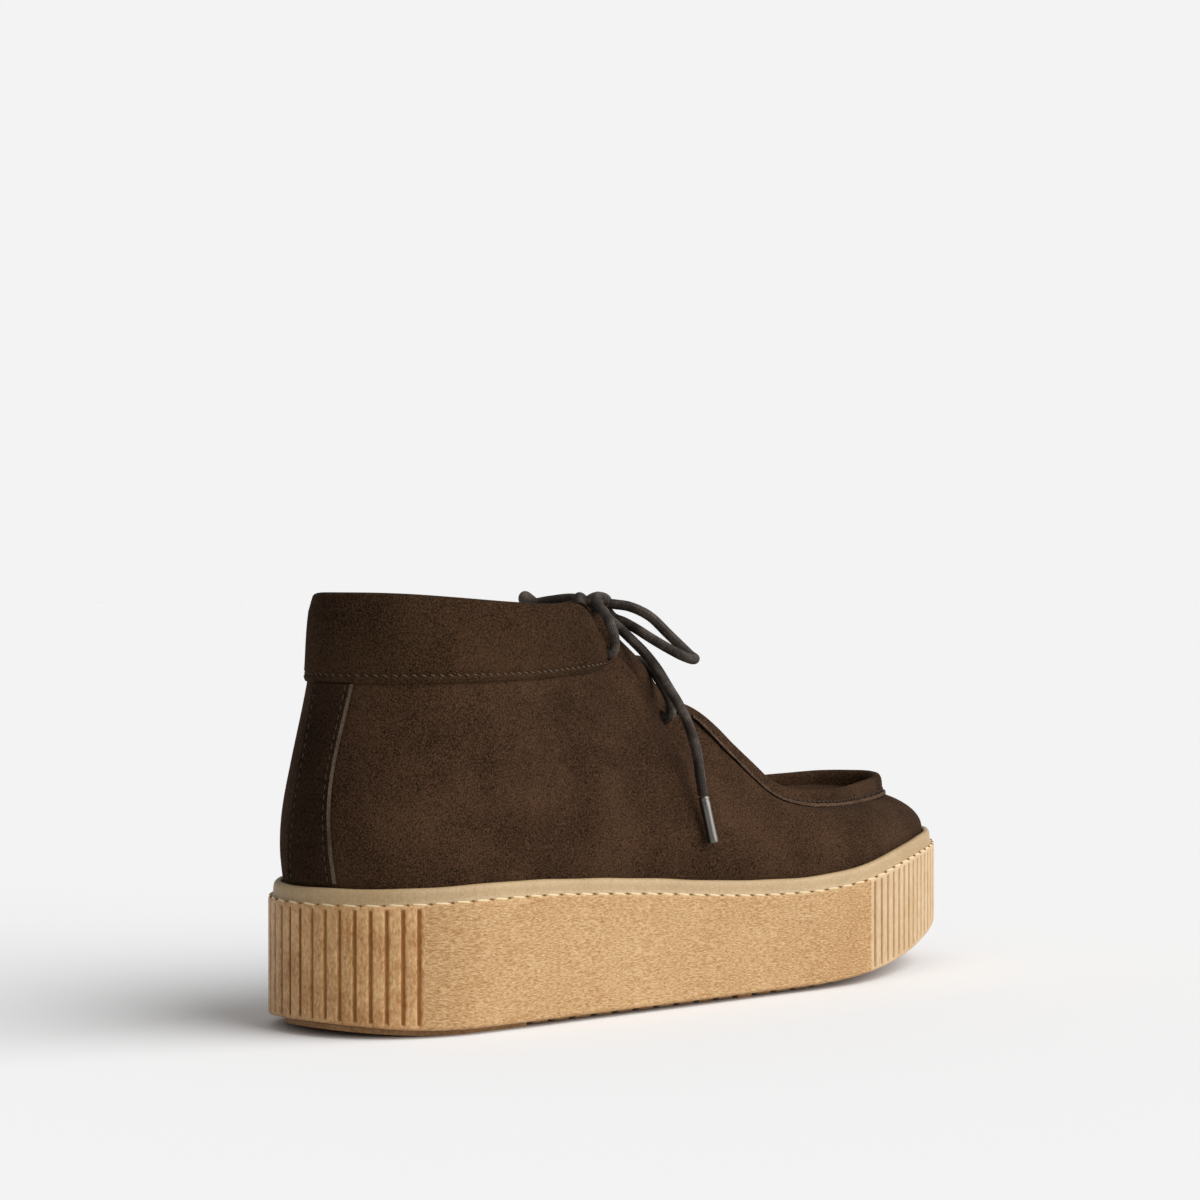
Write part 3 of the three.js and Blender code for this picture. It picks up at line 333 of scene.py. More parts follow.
@dataclass(frozen=True)
class BootForm:
    """The last's shape: sole outline, heights and the upper's wall. Its x runs from the heel's back."""

    length: float = 300 * MM
    ball_width: float = 100 * MM
    heel_centre: float = 40 * MM
    gap: float = 0.3 * MM
    outsole_thickness: float = 1.6 * MM
    sole_height: float = 40 * MM
    heel_spring: float = 2.6 * MM
    heel_spring_length: float = 35 * MM
    toe_spring: float = 17 * MM
    toe_spring_start: float = 174 * MM
    band_inset: float = 1.5 * MM
    band_thickness: float = 2.6 * MM
    band_height: float = 4.6 * MM
    wall: float = 2.2 * MM
    collar_rise: float = 88.6 * MM
    foot_share: float = 0.08
    traces: dict[Side, tuple[Array, Array]] = field(default_factory=dict)

    def __post_init__(self) -> None:
        """Works out both halves of the sole's outline once."""
        outer = [(r.at * self.length, -r.outer * self.ball_width) for r in OUTLINE]
        inner = [(r.at * self.length, r.inner * self.ball_width) for r in OUTLINE][::-1]
        tip = (self.length, TOE_TIP_SIDE * self.ball_width)
        per_piece = 24
        dense = curve_through(np.array([(0, 0), *outer, tip, *inner]), per_piece, True)
        turn = (len(outer) + 1) * per_piece
        for side, path in ((Side.OUTER, dense[: turn + 1]), (Side.INNER, dense[turn:][::-1])):
            self.traces[side] = (run_of(path), path)

    @property
    def upper_inset(self) -> float:
        """Distance from the sole's edge to the foot of the upper."""
        return self.band_inset + self.band_thickness + self.gap

    def ground_lift(self, x: Array) -> Array:
        """Height of the sole's underside over the floor.

        Args:
            x: distances from the heel's back.

        Returns:
            The heights.
        """
        back = np.maximum(0, self.heel_spring_length - x) / self.heel_spring_length
        front = np.maximum(0, x - self.toe_spring_start) / (self.length - self.toe_spring_start)
        return self.heel_spring * back**2 + self.toe_spring * front**2

    def wall_top(self, x: Array) -> Array:
        """Height of the sole's wall."""
        return self.sole_height * smooth_at(WALL_TOP, "rise", x / self.length)

    def crest(self, x: Array) -> Array:
        """Height of tongue and apron on the middle line."""
        return self.sole_height + self.collar_rise * smooth_at(CREST, "rise", x / self.length)

    def edge(self, u: Numbers) -> Array:
        """Points on the sole's edge, in x and y.

        Args:
            u: shares round the shoe, over 0 on the outer side.

        Returns:
            The points.
        """
        u = np.asarray(u, dtype=float)
        inner, outer = (at_run(run, path, np.abs(u) * run[-1]) for run, path in
                        (self.traces[Side.INNER], self.traces[Side.OUTER]))
        return np.where(np.asarray(u < 0)[..., None], inner, outer)

    def out_direction(self, u: Numbers) -> Array:
        """Level direction out of the sole's edge.

        Args:
            u: shares round the shoe.

        Returns:
            The directions.
        """
        tangent = self.edge(wrap(u + EDGE_SHARE)) - self.edge(wrap(u - EDGE_SHARE))
        flat = unit(tangent)
        return np.stack([flat[..., 1], -flat[..., 0], np.zeros(flat.shape[:-1])], axis=-1)

    def inset(self, u: Numbers, inset: Numbers) -> Array:
        """Points a distance inside the sole's edge, at height 0.

        Args:
            u: shares round the shoe.
            inset: distances inside the edge.

        Returns:
            The points.
        """
        u, inset = grids(u, inset)
        at = self.edge(u)
        flat = np.concatenate([at, np.zeros(at.shape[:-1] + (1,))], axis=-1)
        return flat - self.out_direction(u) * inset[..., None]

    def top(self, u: Array) -> Array:
        """Points on the upper's top line: collar, throat and moccasin seam.

        Args:
            u: shares round the shoe.

        Returns:
            The points.
        """
        rows = [*[(-r.at, r.reach, r.inner, r.rise) for r in TOP_LINE[:0:-1]],
                *[(r.at, r.reach, -r.outer, r.rise) for r in TOP_LINE]]
        wrapped = [(rows[-2][0] - 2, *rows[-2][1:]), *rows, (rows[1][0] + 2, *rows[1][1:])]
        table = np.array(wrapped)
        reach, side, rise = (smooth_values(table[:, 0], table[:, k], u) for k in (1, 2, 3))
        return np.stack([reach * self.length, side * self.ball_width,
                         self.sole_height + self.collar_rise * rise], axis=-1)

    def upper(self, u: Numbers, v: Numbers) -> Array:
        """Points on the upper's outside at share u round the shoe and share v up its wall.

        Args:
            u: shares round the shoe.
            v: shares up the wall.

        Returns:
            The points.
        """
        u, v = grids(u, v)
        foot = self.inset(u, self.upper_inset)
        base = self.wall_top(foot[..., 0]) + self.gap
        start = foot.copy()
        start[..., 2] = base + self.band_height
        end = self.top(u)
        out = self.out_direction(u)
        bend = {key: smooth_at(FULL_WALL_BEND, key, u) for key in ("belly", "shoulder", "low", "high")}
        height = end[..., 2] - start[..., 2]
        first = start + out * (bend["belly"] * self.ball_width)[..., None]
        first[..., 2] += height * bend["low"]
        second = end + out * (bend["shoulder"] * self.ball_width)[..., None]
        second[..., 2] -= height * bend["high"]
        s = np.clip((v - self.foot_share) / (1 - self.foot_share), 0, 1)[..., None]
        wall = (1 - s) ** 3 * start + 3 * s * (1 - s) ** 2 * first + 3 * s**2 * (1 - s) * second + s**3 * end
        below = foot.copy()
        below[..., 2] = base + np.clip(v / self.foot_share, 0, 1) * self.band_height
        return np.where((v <= self.foot_share)[..., None], below, wall)

    def upper_normal(self, u: Numbers, v: Numbers) -> Array:
        """Outward direction of the upper's skin.

        Args:
            u: shares round the shoe.
            v: shares up the wall.

        Returns:
            The directions.
        """
        u, v = grids(u, v)
        along = self.upper(wrap(u + NEAR_SHARE), v) - self.upper(wrap(u - NEAR_SHARE), v)
        up = self.upper(u, np.minimum(v + 0.02, 1)) - self.upper(u, np.maximum(v - 0.02, 0))
        normal = unit(np.cross(along, up))
        turned = np.sum(normal * self.out_direction(u), axis=-1) < -0.2
        return np.where(turned[..., None], -normal, normal)

    def skin(self, u: Numbers, v: Numbers, offset: Numbers) -> Array:
        """Points at a distance off the upper's outside."""
        u, v, offset = grids(u, v, offset)
        return self.upper(u, v) + self.upper_normal(u, v) * offset[..., None]

    def share_at(self, u: Numbers, height: Numbers) -> Array:
        """Share v at which the wall reaches a height.

        Args:
            u: shares round the shoe.
            height: heights to find.

        Returns:
            The shares up the wall.
        """
        u, height = grids(u, height)
        low = np.full(u.shape, self.foot_share)
        high = np.ones(u.shape)
        for _ in range(26):
            mid = (low + high) / 2
            under = self.upper(u, mid)[..., 2] < height
            low = np.where(under, mid, low)
            high = np.where(under, high, mid)
        return (low + high) / 2

    def placed(self, points: Array) -> Array:
        """Points moved from the heel's back to the frame's origin."""
        return points - np.array([self.heel_centre, 0, 0])


def wrap(u: Array) -> Array:
    """Brings a share round the shoe back between -1 and 1."""
    return (np.asarray(u, dtype=float) + 1) % 2 - 1


def around(steps: int) -> Array:
    """Even shares of one full turn round the shoe."""
    return wrap(np.arange(2 * steps) / steps)


@dataclass
class Sketch:
    """Points and faces of one piece, gathered before its mesh is made."""

    points: list[Array] = field(default_factory=list)
    faces: list[list[int]] = field(default_factory=list)
    finishes: list[int] = field(default_factory=list)
    uvs: list[Array] = field(default_factory=list)
    count: int = 0

    def add(self, points: Array, faces: Sequence[Sequence[int]], finish: int | Sequence[int] = 0,
            uvs: Array | None = None) -> None:
        """Adds points and faces.

        Args:
            points: the points, one a row.
            faces: corner numbers of each face.
            finish: number of the material, for all faces or one for each.
            uvs: a pair for each point, where the finish needs them.
        """
        self.points.append(np.asarray(points, dtype=float))
        self.faces.extend([[c + self.count for c in face] for face in faces])
        self.finishes.extend([finish] * len(faces) if isinstance(finish, int) else finish)
        self.uvs.append(np.zeros((len(points), 2)) if uvs is None else uvs)
        self.count += len(points)

    def add_rings(self, rings: Array, closed: bool, finish: int | Callable[[int, int], int] = 0,
                  uvs: Array | None = None, caps: tuple[int, int] = (0, 0)) -> None:
        """Adds a skin over rings of points, each ring a closed loop.

        Args:
            rings: array of sections, points and coordinates.
            closed: whether the last section joins the first.
            finish: material number, or one worked out from the section and the place in its ring.
            uvs: pairs of the same arrangement.
            caps: material numbers of both ends, where the finish is worked out.
        """
        sections, size = rings.shape[:2]
        faces, finishes = [], []
        for s in range(sections if closed else sections - 1):
            t = (s + 1) % sections
            for i in range(size):
                j = (i + 1) % size
                faces.append((s * size + i, t * size + i, t * size + j, s * size + j))
                finishes.append(finish if isinstance(finish, int) else finish(s, i))
        if not closed:
            for base, cap in zip((0, (sections - 1) * size), caps):
                faces.append(tuple(range(base, base + size)))
                finishes.append(finish if isinstance(finish, int) else cap)
        self.add(rings.reshape(-1, 3), faces, finishes, None if uvs is None else uvs.reshape(-1, 2))

    def build(self, name: str, materials: Sequence[bpy.types.Material],
              sharp: float = 40) -> bpy.types.Object:
        """Makes the mesh object.

        Args:
            name: its name.
            materials: its materials, by number.
            sharp: angle in degrees past which an edge stays sharp.

        Returns:
            The new object, linked to the scene.
        """
        mesh = bpy.data.meshes.new(name)
        mesh.from_pydata(np.vstack(self.points).tolist(), [], self.faces)
        layer = mesh.uv_layers.new(name=RUN_LAYER)
        corners = np.zeros(len(mesh.loops), dtype=int)
        mesh.loops.foreach_get("vertex_index", corners)
        layer.uv.foreach_set("vector", np.vstack(self.uvs)[corners].astype(np.float32).ravel())
        mesh.polygons.foreach_set("material_index", self.finishes)
        mesh.polygons.foreach_set("use_smooth", [True] * len(mesh.polygons))
        for material in materials:
            mesh.materials.append(material)
        mesh.validate()
        turn_outwards(mesh)
        mesh.set_sharp_from_angle(angle=math.radians(sharp))
        return new_object(name, mesh)


def turn_outwards(mesh: bpy.types.Mesh) -> None:
    """Makes the faces of a mesh point out.

    Args:
        mesh: the mesh, changed in place.
    """
    work = bmesh.new()
    work.from_mesh(mesh)
    bmesh.ops.recalc_face_normals(work, faces=work.faces)
    work.to_mesh(mesh)
    work.free()


def ring_of(front: Array, back: Array) -> Array:
    """Closed rings from a front and a back row of points in each section."""
    return np.concatenate([front, back[:, ::-1]], axis=1)


def circle(sides: int, first: Array, second: Array) -> Array:
    """Points round a unit circle in the plane of two directions."""
    turn = np.arange(sides) / sides * 2 * math.pi
    return np.cos(turn)[:, None] * first + np.sin(turn)[:, None] * second


def new_object(name: str, data: bpy.types.ID) -> bpy.types.Object:
    """Makes an object of a mesh, a light or a camera and links it to the scene.

    Args:
        name: its name.
        data: what the object shows.

    Returns:
        The object.
    """
    thing = bpy.data.objects.new(name, data)
    bpy.context.scene.collection.objects.link(thing)
    return thing


def new_group(name: str, inputs: dict[str, float], outputs: Sequence[str]) -> bpy.types.NodeTree:
    """Starts a shader node group with named number sockets.

    Args:
        name: the group's name.
        inputs: default of each input.
        outputs: names of its outputs.

    Returns:
        The group, with its input and output nodes in place.
    """
    group = bpy.data.node_groups.new(name, "ShaderNodeTree")
    for label, value in inputs.items():
        socket = group.interface.new_socket(name=label, in_out="INPUT", socket_type="NodeSocketFloat")
        socket.default_value = value
    for label in outputs:
        group.interface.new_socket(name=label, in_out="OUTPUT", socket_type="NodeSocketFloat")
    group.nodes.new("NodeGroupInput")
    group.nodes.new("NodeGroupOutput")
    return group


def feed(tree: bpy.types.NodeTree, socket: bpy.types.NodeSocket, value: object) -> None:
    """Gives an input a plain value, or links another socket to it.

    Args:
        tree: the node tree.
        socket: the input.
        value: a number or an output socket.
    """
    if isinstance(value, bpy.types.NodeSocket):
        tree.links.new(value, socket)
    else:
        socket.default_value = value


def math_node(tree: bpy.types.NodeTree, operation: str, a: object, b: object = 0.0) -> bpy.types.NodeSocket:
    """Adds a Math node.

    Args:
        tree: the node tree.
        operation: what the node works out.
        a: its first input, a socket or a number.
        b: its second input, a socket or a number.

    Returns:
        The node's output.
    """
    node = tree.nodes.new("ShaderNodeMath")
    node.operation = operation
    feed(tree, node.inputs[0], a)
    feed(tree, node.inputs[1], b)
    return node.outputs[0]


def noise_node(tree: bpy.types.NodeTree, vector: bpy.types.NodeSocket, scale: object, detail: float,
               rough: float) -> bpy.types.NodeSocket:
    """Adds a noise texture.

    Args:
        tree: the node tree.
        vector: where the noise is read.
        scale: its spots per metre, a socket or a number.
        detail: how many finer layers it has.
        rough: how strong these are.

    Returns:
        The noise's value.
    """
    node = tree.nodes.new("ShaderNodeTexNoise")
    for label, value in {"Vector": vector, "Scale": scale, "Detail": detail, "Roughness": rough}.items():
        feed(tree, node.inputs[label], value)
    return node.outputs[0]


class Effects:
    """Shader node groups that several finishes share."""

    def __init__(self) -> None:
        """Builds every group once."""
        self.grain = self.build_grain()
        self.braid = self.build_braid()

    @staticmethod
    def build_grain() -> bpy.types.NodeTree:
        """Grain over patches: Patch is a slow variation, Fleck a fine one, and Height feeds a bump.

        Returns:
            The group.
        """
        inputs = {"Patches per metre": 60.0, "Flecks per metre": 1500.0, "Stretch along": 1.0,
                  "Stretch up": 1.0}
        group = new_group("grain_over_patches", inputs, ("Patch", "Fleck", "Height"))
        start, end = group.nodes[0], group.nodes[1]
        place = group.nodes.new("ShaderNodeTexCoord")
        split = group.nodes.new("ShaderNodeSeparateXYZ")
        joined = group.nodes.new("ShaderNodeCombineXYZ")
        group.links.new(place.outputs["Object"], split.inputs[0])
        for axis, label in enumerate(("Stretch along", "Stretch along", "Stretch up")):
            stretched = math_node(group, "MULTIPLY", split.outputs[axis], start.outputs[label])
            group.links.new(stretched, joined.inputs[axis])
        flecks = start.outputs["Flecks per metre"]
        patch = noise_node(group, place.outputs["Object"], start.outputs["Patches per metre"], 3, 0.6)
        fleck = noise_node(group, joined.outputs[0], flecks, 2, 0.7)
        tooth = noise_node(group, joined.outputs[0], math_node(group, "MULTIPLY", flecks, 0.45), 3, 0.65)
        fleck_share = math_node(group, "MULTIPLY", fleck, 0.6)
        tooth_share = math_node(group, "MULTIPLY", tooth, 0.6)
        height = math_node(group, "ADD", fleck_share, tooth_share)
        for label, value in {"Patch": patch, "Fleck": fleck, "Height": height}.items():
            group.links.new(value, end.inputs[label])
        return group

    @staticmethod
    def build_braid() -> bpy.types.NodeTree:
        """Braid of a round cord, from the run of its own length and turn.

        Returns:
            The group.
        """
        group = new_group("round_braid", {"Strands": 8.0}, ("Height",))
        start, end = group.nodes[0], group.nodes[1]
        run = group.nodes.new("ShaderNodeUVMap")
        run.uv_map = RUN_LAYER
        split = group.nodes.new("ShaderNodeSeparateXYZ")
        group.links.new(run.outputs[0], split.inputs[0])
        strands = math_node(group, "MULTIPLY", start.outputs["Strands"], 2 * math.pi)
        turn = math_node(group, "MULTIPLY", split.outputs[1], strands)
        along = math_node(group, "MULTIPLY", split.outputs[0], 2 * math.pi)
        left = math_node(group, "SINE", math_node(group, "ADD", along, turn))
        right = math_node(group, "SINE", math_node(group, "SUBTRACT", along, turn))
        group.links.new(math_node(group, "MULTIPLY", left, right), end.inputs["Height"])
        return group


class Coat:
    """A new material: the shared grain, and a mix of two colours wired to its shader."""

    def __init__(self, name: str, effects: Effects, dark: Colour, light: Colour,
                 grain: dict[str, float]) -> None:
        """Makes the material.

        Args:
            name: its name.
            effects: the shared node groups.
            dark: the colour where the mix's factor is 0.
            light: the colour where it is 1.
            grain: the material's own values for the grain.
        """
        self.material = bpy.data.materials.new(name)
        self.material.use_nodes = True
        self.tree = self.material.node_tree
        self.shader = self.tree.nodes["Principled BSDF"]
        self.grain = self.place(effects.grain)
        for label, value in grain.items():
            self.grain.inputs[label].default_value = value
        mix = self.tree.nodes.new("ShaderNodeMix")
        mix.data_type = "RGBA"
        mix.clamp_factor = True
        mix.inputs["A"].default_value = (*dark, 1)
        mix.inputs["B"].default_value = (*light, 1)
        self.factor = mix.inputs["Factor"]
        self.tree.links.new(mix.outputs["Result"], self.shader.inputs["Base Color"])

    def place(self, group: bpy.types.NodeTree) -> bpy.types.Node:
        """Puts a shared group into the material.

        Args:
            group: the group.

        Returns:
            Its node in this material.
        """
        node = self.tree.nodes.new("ShaderNodeGroup")
        node.node_tree = group
        return node

    def math(self, operation: str, a: object, b: object = 0.0) -> bpy.types.NodeSocket:
        """Output of a new Math node in this material."""
        return math_node(self.tree, operation, a, b)

    def steeper(self, value: bpy.types.NodeSocket, middle: float, slope: float) -> bpy.types.NodeSocket:
        """A value's distance from its middle, times a slope."""
        return self.math("MULTIPLY", self.math("SUBTRACT", value, middle), slope)

    def link(self, value: bpy.types.NodeSocket, socket: bpy.types.NodeSocket) -> None:
        """Links an output to an input."""
        self.tree.links.new(value, socket)

    def set(self, values: dict[str, object]) -> None:
        """Sets plain values on the shader's own sockets."""
        for label, value in values.items():
            self.shader.inputs[label].default_value = value

    def bump(self, height: bpy.types.NodeSocket, distance: float) -> None:
        """Feeds a height to the shader's normal.

        Args:
            height: the height, from 0 to 1.
            distance: what 1 stands for, in metres.
        """
        bump = self.tree.nodes.new("ShaderNodeBump")
        bump.inputs["Distance"].default_value = distance
        self.link(height, bump.inputs["Height"])
        self.link(bump.outputs["Normal"], self.shader.inputs["Normal"])


@dataclass(frozen=True)
class GrainFinish:
    """A finish of flecks and patches: suede, crepe, smooth rubber or leather."""

    name: str
    dark: Colour
    light: Colour
    patches: float
    flecks: float
    patch_share: float
    roughness: float
    bump: float
    contrast: float
    specular: float
    stretch_up: float = 1.0
    sheen: float = 0.0

    def material(self, effects: Effects) -> bpy.types.Material:
        """Makes the material.

        Args:
            effects: the shared node groups.

        Returns:
            The material.
        """
        grain = {"Patches per metre": self.patches, "Flecks per metre": self.flecks,
                 "Stretch up": self.stretch_up}
        coat = Coat(self.name, effects, self.dark, self.light, grain)
        patch = coat.math("MULTIPLY", coat.grain.outputs["Patch"], self.patch_share)
        fleck = coat.math("MULTIPLY", coat.grain.outputs["Fleck"], 1 - self.patch_share)
        spread = coat.steeper(coat.math("ADD", patch, fleck), 0.5, 2 * self.contrast)
        coat.link(coat.math("ADD", spread, 0.5), coat.factor)
        coat.set({"Roughness": self.roughness, "Specular IOR Level": self.specular,
                  "Sheen Weight": self.sheen, "Sheen Roughness": 0.45, "Sheen Tint": (*NAP_SHEEN, 1)})
        coat.bump(coat.grain.outputs["Height"], self.bump)
        return coat.material


@dataclass(frozen=True)
class CordFinish:
    """Waxed round braided cord, paler in worn spots."""

    name: str
    dark: Colour
    worn: Colour
    patches: float = 130
    flecks: float = 2600
    roughness: float = 0.72
    specular: float = 0.2
    braid_depth: float = 0.07 * MM
    grain_share: float = 0.8

    def material(self, effects: Effects) -> bpy.types.Material:
        """Makes the material.

        Args:
            effects: the shared node groups.

        Returns:
            The material.
        """
        grain = {"Patches per metre": self.patches, "Flecks per metre": self.flecks}
        coat = Coat(self.name, effects, self.dark, self.worn, grain)
        worn = coat.steeper(coat.grain.outputs["Patch"], 0.42, 3.2)
        fleck = coat.steeper(coat.grain.outputs["Fleck"], 0.45, 1.6)
        coat.link(coat.math("MULTIPLY", worn, coat.math("ADD", fleck, 0.4)), coat.factor)
        coat.set({"Roughness": self.roughness, "Specular IOR Level": self.specular})
        braid = coat.place(effects.braid)
        tooth = coat.math("MULTIPLY", coat.grain.outputs["Height"], self.grain_share)
        coat.bump(coat.math("ADD", braid.outputs["Height"], tooth), self.braid_depth)
        return coat.material


@dataclass(frozen=True)
class PlainFinish:
    """Metal, thread, or the painted shade of stitch holes: nearly one colour, with a light grain in its
    roughness.
    """

    name: str
    colour: Colour
    metallic: float = 0
    roughness: float = 0.8
    flecks: float = 1800
    dark_share: float = 0.72
    unevenness: float = 0.25

    def material(self, effects: Effects) -> bpy.types.Material:
        """Makes the material.

        Args:
            effects: the shared node groups.

        Returns:
            The material.
        """
        dark = tuple(self.dark_share * part for part in self.colour)
        coat = Coat(self.name, effects, dark, self.colour, {"Flecks per metre": self.flecks})
        coat.link(coat.grain.outputs["Fleck"], coat.factor)
        coat.set({"Metallic": self.metallic})
        uneven = coat.math("MULTIPLY", coat.grain.outputs["Patch"], self.unevenness)
        coat.link(coat.math("ADD", uneven, self.roughness - 0.12), coat.shader.inputs["Roughness"])
        return coat.material


def suede(name: str, dark: Colour, light: Colour, sheen: float) -> GrainFinish:
    """Suede: a fine nap over slow patches."""
    return GrainFinish(name, dark, light, 30, 2000, 0.28, 0.95, 0.34 * MM, 2.4, 0.03, sheen=sheen)


class Finish(Enum):
    """Every finish of the boot."""

    SUEDE = suede("suede", (0.0095, 0.0043, 0.002), (0.063, 0.0335, 0.018), 0.02)
    # Darker copy of the suede for the cuff: painted shade of the collar's back, which faces away from the
    # light
    CUFF = suede("cuff_suede", (0.007, 0.0035, 0.0015), (0.053, 0.028, 0.0143), 0.01)
    # Darker copy of the suede for the back strip: painted shade of the heel
    STRIP = suede("strip_suede_painted_shade", (0.005, 0.0025, 0.001), (0.036, 0.019, 0.0105), 0.01)

    # Dark, light, patches and flecks per metre, share of the patches in the colour, roughness, bump
    RAW_EDGE = GrainFinish(
        "raw_suede_edge", (0.028, 0.018, 0.011), (0.1, 0.072, 0.05), 90, 1800, 0.4, 0.95, 0.2 * MM,
        contrast=1.5, specular=0.05)
    LIP = GrainFinish(
        "rolled_suede_lip", (0.03, 0.016, 0.009), (0.1, 0.06, 0.038), 90, 1500, 0.3, 0.95, 0.4 * MM,
        contrast=1.8, specular=0.05)
    LINING = GrainFinish(
        "leather_lining", (0.02, 0.0115, 0.007), (0.06, 0.038, 0.025), 50, 900, 0.5, 0.8, 0.1 * MM,
        contrast=1.2, specular=0.1)
    CREPE = GrainFinish(
        "crepe_rubber", (0.28, 0.135, 0.038), (0.5, 0.33, 0.168), 22, 640, 0.22, 0.6, 0.5 * MM,
        contrast=1.7, specular=0.25, stretch_up=3.2)
    RIB = GrainFinish(
        "rib_rubber", (0.29, 0.13, 0.035), (0.55, 0.34, 0.16), 90, 1100, 0.4, 0.45, 0.3 * MM,
        contrast=1.7, specular=0.35, stretch_up=0.5)
    TOE_RIB = GrainFinish(
        "toe_rib_rubber", (0.4, 0.25, 0.115), (0.52, 0.385, 0.24), 60, 900, 0.4, 0.5, 0.2 * MM,
        contrast=1.3, specular=0.25, stretch_up=0.4)
    # Darker rubber for the rib grooves, less dark at the toe: painted shade in the grooves
    GROOVE = GrainFinish(
        "rib_groove", (0.19, 0.07, 0.012), (0.37, 0.17, 0.038), 40, 700, 0.4, 0.5, 0.1 * MM,
        contrast=1.2, specular=0.2)
    TOE_GROOVE = GrainFinish(
        "toe_rib_groove", (0.33, 0.175, 0.055), (0.46, 0.285, 0.12), 40, 700, 0.4, 0.5, 0.1 * MM,
        contrast=1.2, specular=0.2)
    BAND = GrainFinish(
        "rubber_band", (0.27, 0.18, 0.085), (0.42, 0.3, 0.165), 26, 1100, 0.45, 0.5, 0.07 * MM,
        contrast=1.3, specular=0.3)
    OUTSOLE = GrainFinish(
        "outsole_rubber", (0.2, 0.095, 0.035), (0.44, 0.26, 0.12), 60, 900, 0.4, 0.6, 0.1 * MM,
        contrast=1.3, specular=0.25)
    LACE = CordFinish("waxed_cord", (0.021, 0.0145, 0.0105), (0.17, 0.135, 0.11))
    METAL = PlainFinish("worn_metal", (0.16, 0.15, 0.135), metallic=1, roughness=0.34)
    TUBE_INSIDE = PlainFinish("tube_inside", (0.02, 0.018, 0.016))
    CREAM_THREAD = PlainFinish("cream_thread", (0.72, 0.57, 0.33), roughness=0.6)
    TAN_THREAD = PlainFinish("tan_thread", (0.085, 0.054, 0.032))
    BROWN_THREAD = PlainFinish("brown_thread", (0.035, 0.02, 0.012))
    # Dark bars between the sole stitches: painted shade of the stitch holes
    STITCH_HOLE = PlainFinish("stitch_hole_painted_shade", (0.16, 0.08, 0.03))


class Workshop:
    """What every sub-assembly needs: the boot's form and the materials, each made once."""

    def __init__(self, form: BootForm) -> None:
        """Makes the node groups and the materials.

        Args:
            form: the boot's form.
        """
        self.form = form
        effects = Effects()
        self.materials = {finish: finish.value.material(effects) for finish in Finish}

    def build(self, sketch: Sketch, name: str, finishes: Sequence[Finish], sharp: float) -> bpy.types.Object:
        """Makes the mesh object of a sketch, with its finishes as materials by number."""
        return sketch.build(name, [self.materials[finish] for finish in finishes], sharp)

    def keep(self, piece: bpy.types.Object, slot: Slot, *replaced: str) -> bpy.types.Object:
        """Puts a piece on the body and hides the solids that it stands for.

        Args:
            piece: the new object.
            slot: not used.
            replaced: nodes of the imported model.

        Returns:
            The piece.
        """
        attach(piece, BODY)
        if replaced:
            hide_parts(*replaced)
        LOG.info("%s: %d faces", piece.name, len(piece.data.polygons))
        return piece

    def make(self, sketch: Sketch, name: str, slot: Slot, *replaced: str, finishes: Sequence[Finish],
             sharp: float = 40) -> bpy.types.Object:
        """Builds a piece from a sketch and keeps it.

        Args:
            sketch: its points and faces.
            name: its name.
            slot: the record's material slot.
            replaced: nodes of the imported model.
            finishes: its finishes, by number.
            sharp: angle in degrees past which an edge stays sharp.

        Returns:
            The piece.
        """
        return self.keep(self.build(sketch, name, finishes, sharp), slot, *replaced)


@dataclass(frozen=True)
class Stitch:
    """One kind of stitch, a small rounded bar. Its slant turns it out of the seam's line, in radians."""

    pitch: float
    length: float
    thickness: float
    slant: float = 0.0
    rings: int = 5
    sides: int = 6

    def sew(self, sketch: Sketch, path: Array, normals: Array, finish: int = 0) -> None:
        """Adds a row of these stitches along a path.

        Args:
            sketch: where the stitches go.
            path: points along the seam.
            normals: outward direction at each of them.
            finish: material number.
        """
        run = run_of(path)
        count = int(run[-1] / self.pitch)
        turn = math.pi * (np.arange(self.rings) + 0.5) / self.rings
        wide = self.thickness / 2 * np.minimum(1, 1.25 * np.sin(turn))
        for k in range(count):
            middle = (k + 0.5) * run[-1] / count
            start, end = (at_run(run, path, middle + side * self.length / 2) for side in (-1, 1))
            along = unit(end - start)
            out = at_run(run, normals, middle)
            out = unit(out - along * np.dot(out, along))
            along = along * math.cos(self.slant) + np.cross(along, out) * math.sin(self.slant)
            spine = (start + end) / 2 - along * self.length / 2 * np.cos(turn)[:, None]
            bar = circle(self.sides, np.cross(along, out), out) * wide[:, None, None]
            sketch.add_rings(spine[:, None, :] + bar, False, finish)


class SoleZone(IntEnum):
    """Stretches of the midsole's wall, as numbers of its materials."""

    CREPE = 0
    # Groove faces carry painted shade through their darker finishes
    GROOVE = 1
    RIB = 2
    TOE_GROOVE = 3
    TOE_RIB = 4


